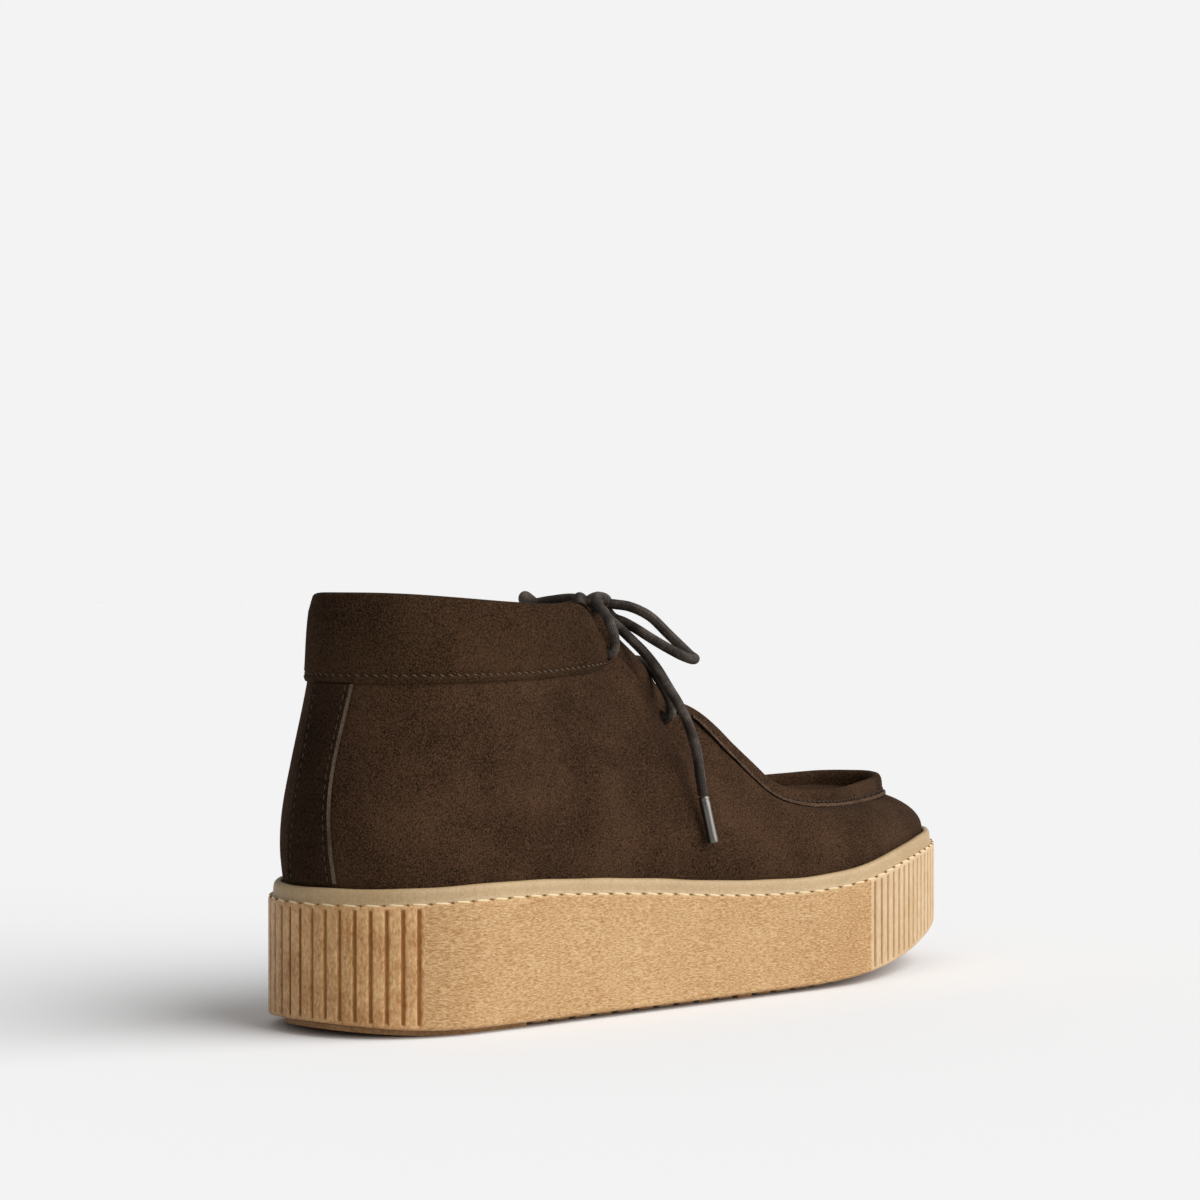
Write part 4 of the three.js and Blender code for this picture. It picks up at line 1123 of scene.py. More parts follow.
@dataclass
class Sole:
    """Outsole, crepe midsole with ribs, band and the stitches that hold it."""

    shop: Workshop
    outsole_inset: float = 5 * MM
    tread_pitch: float = 9 * MM
    tread_width: float = 2.4 * MM
    tread_depth: float = 1.1 * MM
    rest_groove: int = 10
    rest_rise: float = 0.5 * MM
    tread_from: float = 62 * MM
    tread_to: float = 225 * MM
    rib_pitch: float = 4.86 * MM
    groove_width: float = 1.4 * MM
    groove_depth: float = 0.9 * MM
    margin_low: float = 1.3 * MM
    margin_top: float = 1.4 * MM
    heel_ribs: int = 8
    toe_ribs_from: float = 214 * MM
    wall_edge: float = 0.9 * MM
    soft_edge: float = 0.3 * MM
    wall_rows: int = 12
    band_wave: float = 0.12 * MM
    seam_inset: float = 0.5 * MM
    seam_sink: float = 0.12 * MM
    stitch: Stitch = Stitch(7 * MM, 4.8 * MM, 0.7 * MM, 0.1)
    # Short dark bars where the thread goes in: painted shade of the stitch holes
    hole: Stitch = Stitch(7 * MM, 1 * MM, 0.7 * MM, 0.6)

    def build(self) -> None:
        """Builds every piece of the sole."""
        self.build_outsole()
        self.build_midsole()
        self.build_band()
        self.build_stitches()

    def rib_places(self) -> list[float]:
        """Shares round the shoe at which a rib groove runs.

        Returns:
            The shares, the heel's first on each side.
        """
        form = self.shop.form
        places = [0.0]
        for side in (Side.INNER, Side.OUTER):
            total = form.traces[side][0][-1]
            places += [side.value * i * self.rib_pitch / total for i in range(1, self.heel_ribs + 1)]
            d = 0.5 if side is Side.INNER else 0.0
            u = side.value * (1 - d * self.rib_pitch / total)
            while form.edge(np.array(u))[0] >= self.toe_ribs_from:
                places.append(u)
                d += 1
                u = side.value * (1 - d * self.rib_pitch / total)
        return places

    def in_ribs(self, shares: Array) -> Array:
        """Whether the wall is ribbed.

        Args:
            shares: shares round the shoe.

        Returns:
            True for each share among the ribs of heel or toe.
        """
        form = self.shop.form
        heel_end = (self.heel_ribs + 0.62) * self.rib_pitch / form.traces[Side.OUTER][0][-1]
        at_toe = form.edge(shares)[:, 0] > self.toe_ribs_from - 0.4 * self.rib_pitch
        return (np.abs(shares) < heel_end) | at_toe

    def build_outsole(self) -> None:
        """Thin outsole with cross grooves, in sections along the shoe."""
        form = self.shop.form
        shares = around(600)
        ring = form.inset(shares, self.outsole_inset)
        tiny = 0.02 * MM
        back, front = ring[:, 0].min() + tiny, ring[:, 0].max() - tiny
        grooves = np.arange(self.tread_from, self.tread_to, self.tread_pitch)
        half = self.tread_width / 2
        slope = 0.15 * MM
        steps = np.array([-half - slope, -half, half, half + slope])
        even = back + (front - back) * (1 - np.cos(np.linspace(0, math.pi, 90))) / 2
        xs = np.sort(np.concatenate([even, (grooves[:, None] + steps).ravel()]))
        low, high = (np.interp(xs, *side[np.argsort(side[:, 0])].T[:2]) for side in
                     (ring[shares >= 0], ring[shares <= 0]))
        inside = np.min(np.abs(xs[:, None] - grooves[None, :]), axis=1) <= half + 1e-6
        base = form.ground_lift(xs)
        bar_from = self.tread_from + self.rest_groove * self.tread_pitch
        at_rest = (xs < self.tread_from) | ((xs > bar_from) & (xs < bar_from + self.tread_pitch))
        cut = np.where(inside, self.tread_depth, np.where(at_rest, 0, self.rest_rise))
        across = np.array([0, 0.004, 0.25, 0.5, 0.75, 0.996, 1])
        rise = np.array([0.5, 0, 0, 0, 0, 0, 0.5]) * MM
        ys = low[:, None] + (high - low)[:, None] * across
        bottom = np.stack([*np.broadcast_arrays(xs[:, None], ys), (base + cut)[:, None] + rise], axis=-1)
        top = bottom.copy()
        top[..., 2] = (base + form.outsole_thickness)[:, None]
        sketch = Sketch()
        sketch.add_rings(form.placed(ring_of(bottom, top)), False)
        self.shop.make(sketch, "outsole_sheet", Slot.OUTSOLE, "outsole", finishes=[Finish.OUTSOLE], sharp=30)

    def build_midsole(self) -> None:
        """Crepe body with ribs round heel and toe."""
        form = self.shop.form
        ribs = self.rib_places()
        reach = np.array([0.4, 0.6, 0.72, 1, 1.5]) * self.groove_width * 0.72 / form.traces[Side.OUTER][0][-1]
        spread = np.array([*-reach, 0, *reach])
        shares = np.concatenate([around(170), *[wrap(u + spread) for u in ribs]])
        shares = np.unique(np.round(shares, 6))
        at = form.edge(shares)
        to_rib = np.linalg.norm(at[:, None, :] - form.edge(np.array(ribs))[None, :, :], axis=-1).min(axis=1)
        groove = 1 - smoothstep(0.35 * MM, 0.85 * MM, to_rib)
        soft, edge = self.soft_edge, self.wall_edge
        low = form.ground_lift(at[:, 0]) + form.outsole_thickness + form.gap
        top = form.wall_top(at[:, 0])
        start, stop = low + self.margin_low, top - self.margin_top
        levels = [(low, edge), (low + soft, 0.35 * edge), (low + edge, 0), (start - soft, 0), (start, 0),
                  (start + soft, 0)]
        levels += [(start + (stop - start) * k / self.wall_rows, 0) for k in range(1, self.wall_rows)]
        levels += [(stop - soft, 0), (stop, 0), (stop + soft, 0), (top - edge, 0),
                   (top - 0.35 * MM, 0.25 * edge), (top - 0.08 * MM, 0.8 * edge), (top, 1.7 * edge)]
        z = np.stack([height for height, _ in levels], axis=1)
        ends = smoothstep(0, 1, (z - start[:, None]) / (0.5 * MM) + 0.5)
        ends *= smoothstep(0, 1, (stop[:, None] - z) / (0.5 * MM) + 0.5)
        inset = np.array([inset for _, inset in levels]) + groove[:, None] * ends * self.groove_depth
        rings = form.inset(shares[:, None], inset)
        rings[..., 2] = z
        in_groove = (groove[:, None] * ends) > 0.5
        ribbed = self.in_ribs(shares)
        at_toe = at[:, 0] > form.length / 2

        def zone(row: int, s: int) -> SoleZone:
            """Zone of the face over a row at a share.

            Args:
                row: number of the row.
                s: number of the share.

            Returns:
                The zone.
            """
            t = (s + 1) % len(shares)
            # Faces inside a groove take a darker finish: painted shade in the groove
            if in_groove[s, row] and in_groove[t, row] and in_groove[s, row + 1]:
                return SoleZone.TOE_GROOVE if at_toe[s] else SoleZone.GROOVE
            if ribbed[s] and ribbed[t]:
                return SoleZone.TOE_RIB if at_toe[s] else SoleZone.RIB
            return SoleZone.CREPE

        sketch = Sketch()
        sketch.add_rings(form.placed(np.swapaxes(rings, 0, 1)), False, zone)
        finishes = [Finish[zone.name] for zone in SoleZone]
        self.shop.make(sketch, "crepe_midsole", Slot.CREPE, "midsole", finishes=finishes, sharp=50)

    def build_band(self) -> None:
        """Smooth band on the midsole's step, close round the foot of the upper."""
        form = self.shop.form
        shares = around(260)
        inward, up = np.array([
            (-0.2, -0.01), (-0.2, 0.03), (-0.06, 0.1), (0, 0.24), (0, 0.5), (0.04, 0.7), (0.13, 0.86),
            (0.3, 0.97), (0.55, 1), (0.8, 0.985), (0.94, 0.93), (1, 0.8), (1, 0.4), (1, -0.01),
        ]).T
        rings = form.inset(shares[:, None], form.band_inset + inward * form.band_thickness)
        wave = self.band_wave * np.sin(shares * 61) * np.sin(shares * 23 + 1)
        rings[..., 2] = form.wall_top(rings[..., 0]) + up * form.band_height + wave[:, None] * (up > 0.5)
        sketch = Sketch()
        sketch.add_rings(form.placed(rings), True)
        self.shop.make(sketch, "foot_band", Slot.BAND, "welt_band", finishes=[Finish.BAND], sharp=60)

    def build_stitches(self) -> None:
        """Cream stitches on the step under the band, with small dark bars between them: painted shade of
        their holes.
        """
        form = self.shop.form
        shares = around(700)
        shares = np.concatenate([shares, shares[:1]])
        path = form.inset(shares, self.seam_inset)
        path[:, 2] = form.wall_top(path[:, 0]) - self.seam_sink
        normals = unit(form.out_direction(shares) + np.array([0, 0, 1]))
        run = run_of(path)
        half_way = at_run(run, path, (run + self.stitch.pitch / 2) % run[-1])
        sketch = Sketch()
        self.stitch.sew(sketch, form.placed(path), normals)
        self.hole.sew(sketch, form.placed(half_way), normals, 1)
        finishes = [Finish.CREAM_THREAD, Finish.STITCH_HOLE]
        self.shop.make(sketch, "sole_stitches", Slot.THREAD, finishes=finishes)


@dataclass
class Upper:
    """Hollow upper with its creases, cuff, back strip and insole."""

    shop: Workshop
    swell: float = 0.22 * MM
    inner_crease_share: float = 0.8
    cuff_height: float = 24 * MM
    cuff_lining_height: float = 16 * MM
    cuff_thickness: float = 1.2 * MM
    cuff_padding: float = 0.6 * MM
    cuff_end: float = 16 / 38
    cuff_front_rise: float = 3.5 * MM
    cuff_wave: float = 0.18 * MM
    cuff_seam: float = 0.1
    cuff_groove: float = 0.5 * MM
    cuff_fill: float = 0.7
    rim_roll: float = 0.9 * MM
    strip_share: float = 0.034
    strip_thickness: float = 1.1 * MM
    strip_waist: float = 0.25
    strip_seam: float = 0.76
    insole_thickness: float = 3.4 * MM
    eyelet_diameter: float = 4.6 * MM
    eyelets: tuple = ((0.44, 0.965), (0.53, 0.95))
    cuff_stitch: Stitch = Stitch(2.9 * MM, 1.7 * MM, 0.42 * MM, 0.35)
    strip_stitch: Stitch = Stitch(2.9 * MM, 1.8 * MM, 0.4 * MM)

    def build(self) -> None:
        """Builds every piece of the upper."""
        self.build_wall()
        self.build_cuff()
        self.build_strip()
        self.build_insole()

    def crease_depth(self, points: Array) -> Array:
        """How far the creases push the skin in at each point.

        Args:
            points: points of the skin in the frame.

        Returns:
            Depths, over 0 where the skin goes in.
        """
        depth = np.zeros(points.shape[:-1])
        for crease in CREASES:
            for side in Side:
                mirror = np.array([1, side.value, 1])
                share = 1.0 if side is Side.OUTER else self.inner_crease_share
                a = np.array(crease.start) * MM * mirror
                b = np.array(crease.end) * MM * mirror
                s = np.clip(np.sum((points - a) * (b - a), axis=-1) / np.sum((b - a) ** 2), 0, 1)
                apart = np.linalg.norm(points - (a + s[..., None] * (b - a)), axis=-1)
                fade = np.sin(math.pi * np.clip(0.12 + 0.8 * s, 0, 1))
                depth += share * crease.depth * MM * fade * np.exp(-((apart / (crease.width * MM)) ** 2))
        x, y, z = (points[..., axis] / MM for axis in range(3))
        return depth + self.swell * np.sin(x / 17 + z / 23 + 0.6) * np.sin(z / 14 - x / 41 + y / 29)

    def wall_offset(self, u: Array, v: Array) -> Array:
        """Distance of the creased skin from the plain one, calm at both edges.

        Args:
            u: shares round the shoe.
            v: shares up the wall.

        Returns:
            The distances, under 0 where the skin goes in.
        """
        form = self.shop.form
        depth = self.crease_depth(form.placed(form.upper(u, v)))
        calm = smoothstep(form.foot_share, form.foot_share + 0.1, v) * (1 - 0.7 * smoothstep(0.93, 1, v))
        return -depth * calm

    def build_wall(self) -> None:
        """The upper itself, with rounded edges and four eyelet holes."""
        form = self.shop.form
        u = around(270)[:, None]
        foot_rows = [0, 0.04]
        v = np.array([*foot_rows, *np.linspace(form.foot_share, 0.985, 78), 0.994, 1])
        edge = np.zeros(v.shape)
        edge[-2:] = (-0.12 * MM, -0.45 * MM)
        front = form.skin(u, v, self.wall_offset(u, v) + edge)
        back_v = np.array([*foot_rows, *np.linspace(form.foot_share + 0.01, 0.985, 26), 1])
        back_offset = np.full(back_v.shape, -form.wall)
        back_offset[-1] += 0.4 * MM
        back = form.skin(u, back_v, back_offset)
        back[:, :2, :2] = form.inset(u, np.full(2, form.upper_inset + form.wall))[..., :2]
        back[:, :2, 2] = form.upper(u, back_v[:2])[..., 2]
        rows = front.shape[1]
        sketch = Sketch()
        sketch.add_rings(form.placed(ring_of(front, back)), True, lambda _, row: int(row >= rows))
        piece = self.shop.build(sketch, "suede_upper", [Finish.SUEDE, Finish.LINING], 55)
        self.cut_eyelets(piece)
        self.shop.keep(piece, Slot.SUEDE, "upper")

    def cut_eyelets(self, piece: bpy.types.Object) -> None:
        """Cuts the eyelet holes through the wall.

        Args:
            piece: the upper.
        """
        form = self.shop.form
        depth = 5 * MM
        sketch = Sketch()
        for share, height in self.eyelets:
            for side in Side:
                u = side.value * share
                centre = form.placed(form.skin(u, height, -form.wall / 2))
                axis = form.upper_normal(u, height)
                across = unit(np.cross(axis, (0, 0, 1)))
                hole = circle(20, across, np.cross(axis, across)) * self.eyelet_diameter / 2
                sketch.add_rings(np.stack([centre + hole + axis * d for d in (-depth, depth)]), False)
        cutter = sketch.build("eyelet_cutter", [])
        modifier = piece.modifiers.new("eyelets", "BOOLEAN")
        modifier.object = cutter
        modifier.operation = "DIFFERENCE"
        modifier.solver = "EXACT"
        depsgraph = bpy.context.evaluated_depsgraph_get()
        cut = bpy.data.meshes.new_from_object(piece.evaluated_get(depsgraph))
        piece.modifiers.clear()
        piece.data = cut
        bpy.data.objects.remove(cutter)

    def cuff_foot(self, u: Array) -> Array:
        """Height of the cuff's lower edge."""
        back = self.shop.form.sole_height + self.shop.form.collar_rise - self.cuff_height
        return back + self.cuff_front_rise * (np.abs(u) / self.cuff_end) ** 4

    def build_cuff(self) -> None:
        """Padded cuff folded over the rim, with a row of stitches over its lower fold."""
        form = self.shop.form
        u = np.linspace(-self.cuff_end, self.cuff_end, 300)
        column = u[:, None]
        foot = form.share_at(u, self.cuff_foot(u))
        rim = form.upper(u, 1)
        lining = np.maximum(foot, form.share_at(u, rim[:, 2] - self.cuff_lining_height))
        up = unit(rim - form.upper(u, 0.97))
        near, far = form.gap, form.gap + self.cuff_thickness
        rows = np.array([0, 0.025, 0.06, 0.1, 0.14, 0.2, 0.28, 0.38, 0.5, 0.62, 0.74, 0.85, 0.93, 0.98])
        pad = np.sin(math.pi * np.clip((rows - self.cuff_seam) / 0.9, 0, 1)) ** 0.7
        offset = near + self.cuff_thickness * (0.35 + 0.65 * smoothstep(0, 0.05, rows))
        offset = offset - self.cuff_groove * np.exp(-(((rows - self.cuff_seam) / 0.022) ** 2))
        offset = offset + self.cuff_padding * pad - self.rim_roll * smoothstep(0.78, 1.02, rows) ** 1.5
        wave = self.cuff_wave * np.sin(column * 58 + 2 * rows) * np.sin(column * 23 + 5 * rows)
        v_out = foot[:, None] + (1 - foot[:, None]) * rows
        v_in = lining[:, None] + (1 - lining[:, None]) * np.linspace(0.98, 0, 8)
        inside = form.wall + far
        middle, radius = (far - self.rim_roll - inside) / 2, (far - self.rim_roll + inside) / 2
        front = form.skin(column, v_out, offset + wave * pad)
        arc = np.stack([form.skin(u, 1, middle + radius * math.cos(turn)) + up * far * math.sin(turn)
                        for turn in np.linspace(0, math.pi, 9)[1:-1]], axis=1)
        over = np.stack([form.skin(u, 1, reach) + up * near
                         for reach in np.linspace(near, -form.wall - near, 7)], axis=1)
        shell_front = np.concatenate([front, arc, form.skin(column, v_in, -inside)], axis=1)
        shell_back = np.concatenate([form.skin(column, v_out, near), over,
                                     form.skin(column, v_in, -form.wall - near)], axis=1)
        lining_from = len(rows) + 5
        sketch = Sketch()
        sketch.add_rings(form.placed(ring_of(shell_front, shell_back)), False,
                         lambda _, row: int(row >= lining_from))
        # The cuff's suede is the darker copy: painted shade
        piece = self.shop.make(sketch, "collar_cuff_suede", Slot.SUEDE, "collar_cuff",
                               finishes=[Finish.CUFF, Finish.LINING], sharp=50)
        v_seam = foot + (1 - foot) * self.cuff_seam
        path = form.skin(u, v_seam, far - 0.28 * MM)
        seam = Sketch()
        self.cuff_stitch.sew(seam, form.placed(path), form.upper_normal(u, v_seam))
        self.shop.make(seam, "cuff_stitches", Slot.THREAD, finishes=[Finish.TAN_THREAD])

    def build_strip(self) -> None:
        """Back strip with pale raw edges and a row of stitches inside each."""
        form = self.shop.form
        half = np.array([0.2, 0.45, 0.6, 0.7, 0.76, 0.8, 0.84, 0.89, 0.93, 0.97, 1])
        across = np.array([*-half[::-1], 0, *half])
        rows = np.linspace(0, 1, 60)
        waist = 1 - self.strip_waist * np.sin(math.pi * rows)
        u = across * self.strip_share * waist[:, None]
        bottom = form.foot_share + 0.01
        v = bottom + (form.share_at(u, self.cuff_foot(u) - form.gap) - bottom) * rows[:, None]
        full = form.gap + self.strip_thickness
        press = 0.3 * MM * np.exp(-(((np.abs(across) - self.strip_seam) / 0.06) ** 2))
        soft = 0.75 * MM * smoothstep(0.92, 1, np.abs(across))
        rings = ring_of(form.skin(u, v, full - press - soft), form.skin(u, v, form.gap))
        last = len(across) - 1
        raw = (0, 1, last - 2, last - 1, last, 2 * last + 1)
        sketch = Sketch()
        sketch.add_rings(form.placed(rings), False, lambda _, row: int(row in raw))
        # The strip's suede is a darker copy: painted shade of the heel
        self.shop.make(sketch, "heel_strip", Slot.SUEDE, "back_strip",
                       finishes=[Finish.STRIP, Finish.RAW_EDGE])
        seam = Sketch()
        for side in Side:
            u = side.value * self.strip_seam * self.strip_share * waist
            v = bottom + (form.share_at(u, self.cuff_foot(u)) - bottom) * rows
            path = form.skin(u, v, full - 0.12 * MM)
            self.strip_stitch.sew(seam, form.placed(path), form.upper_normal(u, v))
        self.shop.make(seam, "strip_stitches", Slot.THREAD, finishes=[Finish.BROWN_THREAD])

    def build_insole(self) -> None:
        """Insole board and sock, slightly cupped."""
        form = self.shop.form
        inset = form.upper_inset + form.wall + form.gap
        inward = np.array([0, 0, 0, 0.6, 3, 8, 16, 24, 30]) * MM
        sag = np.array([2.2, 0.6, 0, 0.3, 0.6, 0.7, 0.8, 0.8]) * MM
        rings = form.inset(around(150), inset + inward[:, None])
        height = np.array([form.gap, *(self.insole_thickness - sag)])
        rings[..., 2] = form.wall_top(rings[..., 0]) + height[:, None]
        sketch = Sketch()
        sketch.add_rings(form.placed(rings), False)
        self.shop.make(sketch, "insole_sock", Slot.LINING, "insole", finishes=[Finish.LINING], sharp=50)


@dataclass
class Front:
    """Tongue and moccasin apron."""

    shop: Workshop
    tongue_thickness: float = 2.4 * MM
    tongue_slope: float = math.pi / 5
    tongue_arch: float = 2.95
    tongue_round: float = 0.35
    plate_edge: float = 0.4 * MM
    apron_thickness: float = 2.2 * MM
    apron_swell: float = 0.25 * MM
    rim_height: float = 7.4 * MM
    rim_fall: float = 0.3
    rim_thickness: float = 4.2 * MM
    rim_overhang: float = 0.5 * MM
    rim_lean: float = 0.7
    rim_pucker: float = 0.14 * MM
    sink: float = 4.5 * MM
    root: float = 1.5 * MM
    lead: float = 6 * MM
    arch: float = 1.6
    start: float = 21 / 38
    lip_radius: float = 0.7 * MM
    lip_knot: float = 0.12 * MM
    lip_reach: float = 0.55 * MM
    lip_rise: float = 0.1
    stitch_rise: float = 0.3
    stitch: Stitch = Stitch(2.6 * MM, 1.5 * MM, 0.55 * MM, 0.3)

    def build(self) -> None:
        """Builds tongue, apron and the lip of the seam between apron and vamp."""
        self.build_tongue()
        self.build_apron()
        self.build_seam()

    def build_tongue(self) -> None:
        """Tongue: an arched plate that goes under the apron."""
        form = self.shop.form
        reach = np.linspace(TONGUE[0].at, TONGUE[-1].at, 60)[:, None]
        across = np.linspace(-1, 1, 41)
        sink = (self.apron_thickness + 3 * form.gap) / math.cos(self.tongue_slope)
        half, drop, under = (smooth_at(TONGUE, key, reach) for key in ("half", "drop", "under"))
        from_end = (reach - reach[0]) / (reach[-1] - reach[0])
        round_end = 1 - self.tongue_round * (1 - smoothstep(0, 0.12, from_end))
        fall = drop * form.collar_rise * np.abs(across) ** self.tongue_arch
        x = reach * form.length
        grid = np.stack(np.broadcast_arrays(
            x, half * form.ball_width * round_end * across, form.crest(x) - under * sink - fall), axis=-1)
        sketch = Sketch()
        sketch.add_rings(form.placed(self.plate_rings(grid, self.tongue_thickness)), False)
        self.shop.make(sketch, "suede_tongue", Slot.SUEDE, "tongue", finishes=[Finish.SUEDE], sharp=50)

    def plate_rings(self, grid: Array, thickness: float) -> Array:
        """Rings of a plate of even thickness under a grid of points.

        Args:
            grid: points of its upper face, in sections.
            thickness: the plate's thickness.

        Returns:
            The rings, with softened edges.
        """
        normal = unit(np.cross(np.gradient(grid, axis=0), np.gradient(grid, axis=1)))
        normal = np.where(normal[..., 2:] < 0, -normal, normal)
        soft = np.zeros((grid.shape[1], 1))
        soft[0] = soft[-1] = self.plate_edge
        return ring_of(grid - normal * soft, grid - normal * (thickness - soft))

    def rim_point(self, u: Array, outward: Array, rise: Array) -> Array:
        """Points of the rim over the moccasin seam.

        Args:
            u: shares round the shoe.
            outward: distances out of the seam.
            rise: shares of the rim's height.

        Returns:
            The points.
        """
        form = self.shop.form
        u, outward, rise = grids(u, outward, rise)
        along = unit(form.top(wrap(u + NEAR_SHARE)) - form.top(wrap(u - NEAR_SHARE)))
        out = unit(np.stack([along[..., 1], -along[..., 0], np.zeros(u.shape)], axis=-1))
        back = (1 - np.abs(u)) / (1 - self.start)
        up = unit(np.array([0, 0, 1]) - along * along[..., 2:])
        column = unit(up - out * (self.rim_lean * np.maximum(back, 0) ** 1.5)[..., None])
        height = form.gap + (rise * self.rim_height - form.gap) * (1 - self.rim_fall * back)
        return form.top(u) + out * outward[..., None] + column * height[..., None]

    def build_apron(self) -> None:
        """Rim standing on the seam and the plug sunk inside it, as one piece."""
        form = self.shop.form
        turn = np.linspace(self.start, 2 - self.start, 260)[:, None]
        out_share, up_share = np.array([
            (0.0, 0.04), (-0.03, 0.12), (0.0, 0.25), (0.02, 0.45), (0.0, 0.68), (-0.05, 0.84), (-0.15, 0.95),
            (-0.3, 1.0), (-0.48, 1.0), (-0.66, 0.96), (-0.84, 0.86), (-0.96, 0.7), (-1.0, 0.45), (-1.0, 0.04),
        ]).T
        pucker = self.rim_pucker * np.sin(turn * 190) * np.sin(turn * 37)
        wave = 0.02 * np.sin(turn * 29 + 1) + 0.014 * np.sin(turn * 61)
        outward = self.rim_overhang + out_share * self.rim_thickness + pucker
        rim = self.rim_point(wrap(turn), outward, up_share * (1 + wave * up_share))
        inner = self.rim_overhang - self.rim_thickness + self.root
        sunk = 1 - self.sink / self.rim_height
        shares = np.linspace(self.start, 37 / 38, 90)
        near, far = (self.rim_point(side * shares, inner, sunk) for side in (1, -1))
        lead = self.lead * ((1 - shares) / (1 - self.start)) ** 2
        centre = (near + far) / 2
        swell = form.crest(centre[:, 0] + lead) - centre[:, 2]
        s = np.linspace(0, 1, 61)
        hump = 1 - np.abs(2 * s - 1) ** self.arch
        grid = near[:, None, :] + (far - near)[:, None, :] * s[:, None]
        grid[..., 0] += lead[:, None] * hump
        grid[..., 2] += swell[:, None] * hump
        x, y = grid[..., 0] / MM, grid[..., 1] / MM
        grid[..., 2] += self.apron_swell * np.sin(x / 11 + y / 19) * np.sin(y / 8 + x / 37) * hump
        sketch = Sketch()
        for rings in (rim, self.plate_rings(grid, self.apron_thickness)):
            sketch.add_rings(form.placed(rings), False)
        self.shop.make(sketch, "moccasin_apron", Slot.SUEDE, "apron", finishes=[Finish.SUEDE], sharp=50)

    def build_seam(self) -> None:
        """Thin rolled lip of the vamp along the foot of the rim, and the stitches over it."""
        form = self.shop.form
        turn = np.linspace(self.start + 0.01, 2 - self.start - 0.01, 420)
        u = wrap(turn)
        angle = np.arange(8) / 8 * 2 * math.pi
        radius = (self.lip_radius + self.lip_knot * np.sin(turn * 330))[:, None]
        up = unit(self.rim_point(u, 0, 0.6) - self.rim_point(u, 0, self.lip_rise))
        outward = self.rim_overhang + self.lip_reach + radius * np.cos(angle)
        rings = self.rim_point(u[:, None], outward, self.lip_rise)
        rings = rings + up[:, None, :] * (radius * np.sin(angle))[..., None]
        lip = Sketch()
        lip.add_rings(form.placed(rings), False)
        self.shop.make(lip, "seam_lip", Slot.SUEDE, finishes=[Finish.LIP], sharp=60)
        path = self.rim_point(u, self.rim_overhang + 0.12 * MM, self.stitch_rise)
        out = unit(path - self.rim_point(u, 0, self.stitch_rise))
        seam = Sketch()
        self.stitch.sew(seam, form.placed(path), out)
        self.shop.make(seam, "moccasin_stitches", Slot.THREAD, finishes=[Finish.BROWN_THREAD])


class FarEnd(Enum):
    """What the far end of a free cord is."""

    KNOT = "knot"
    FITTING = "fitting"


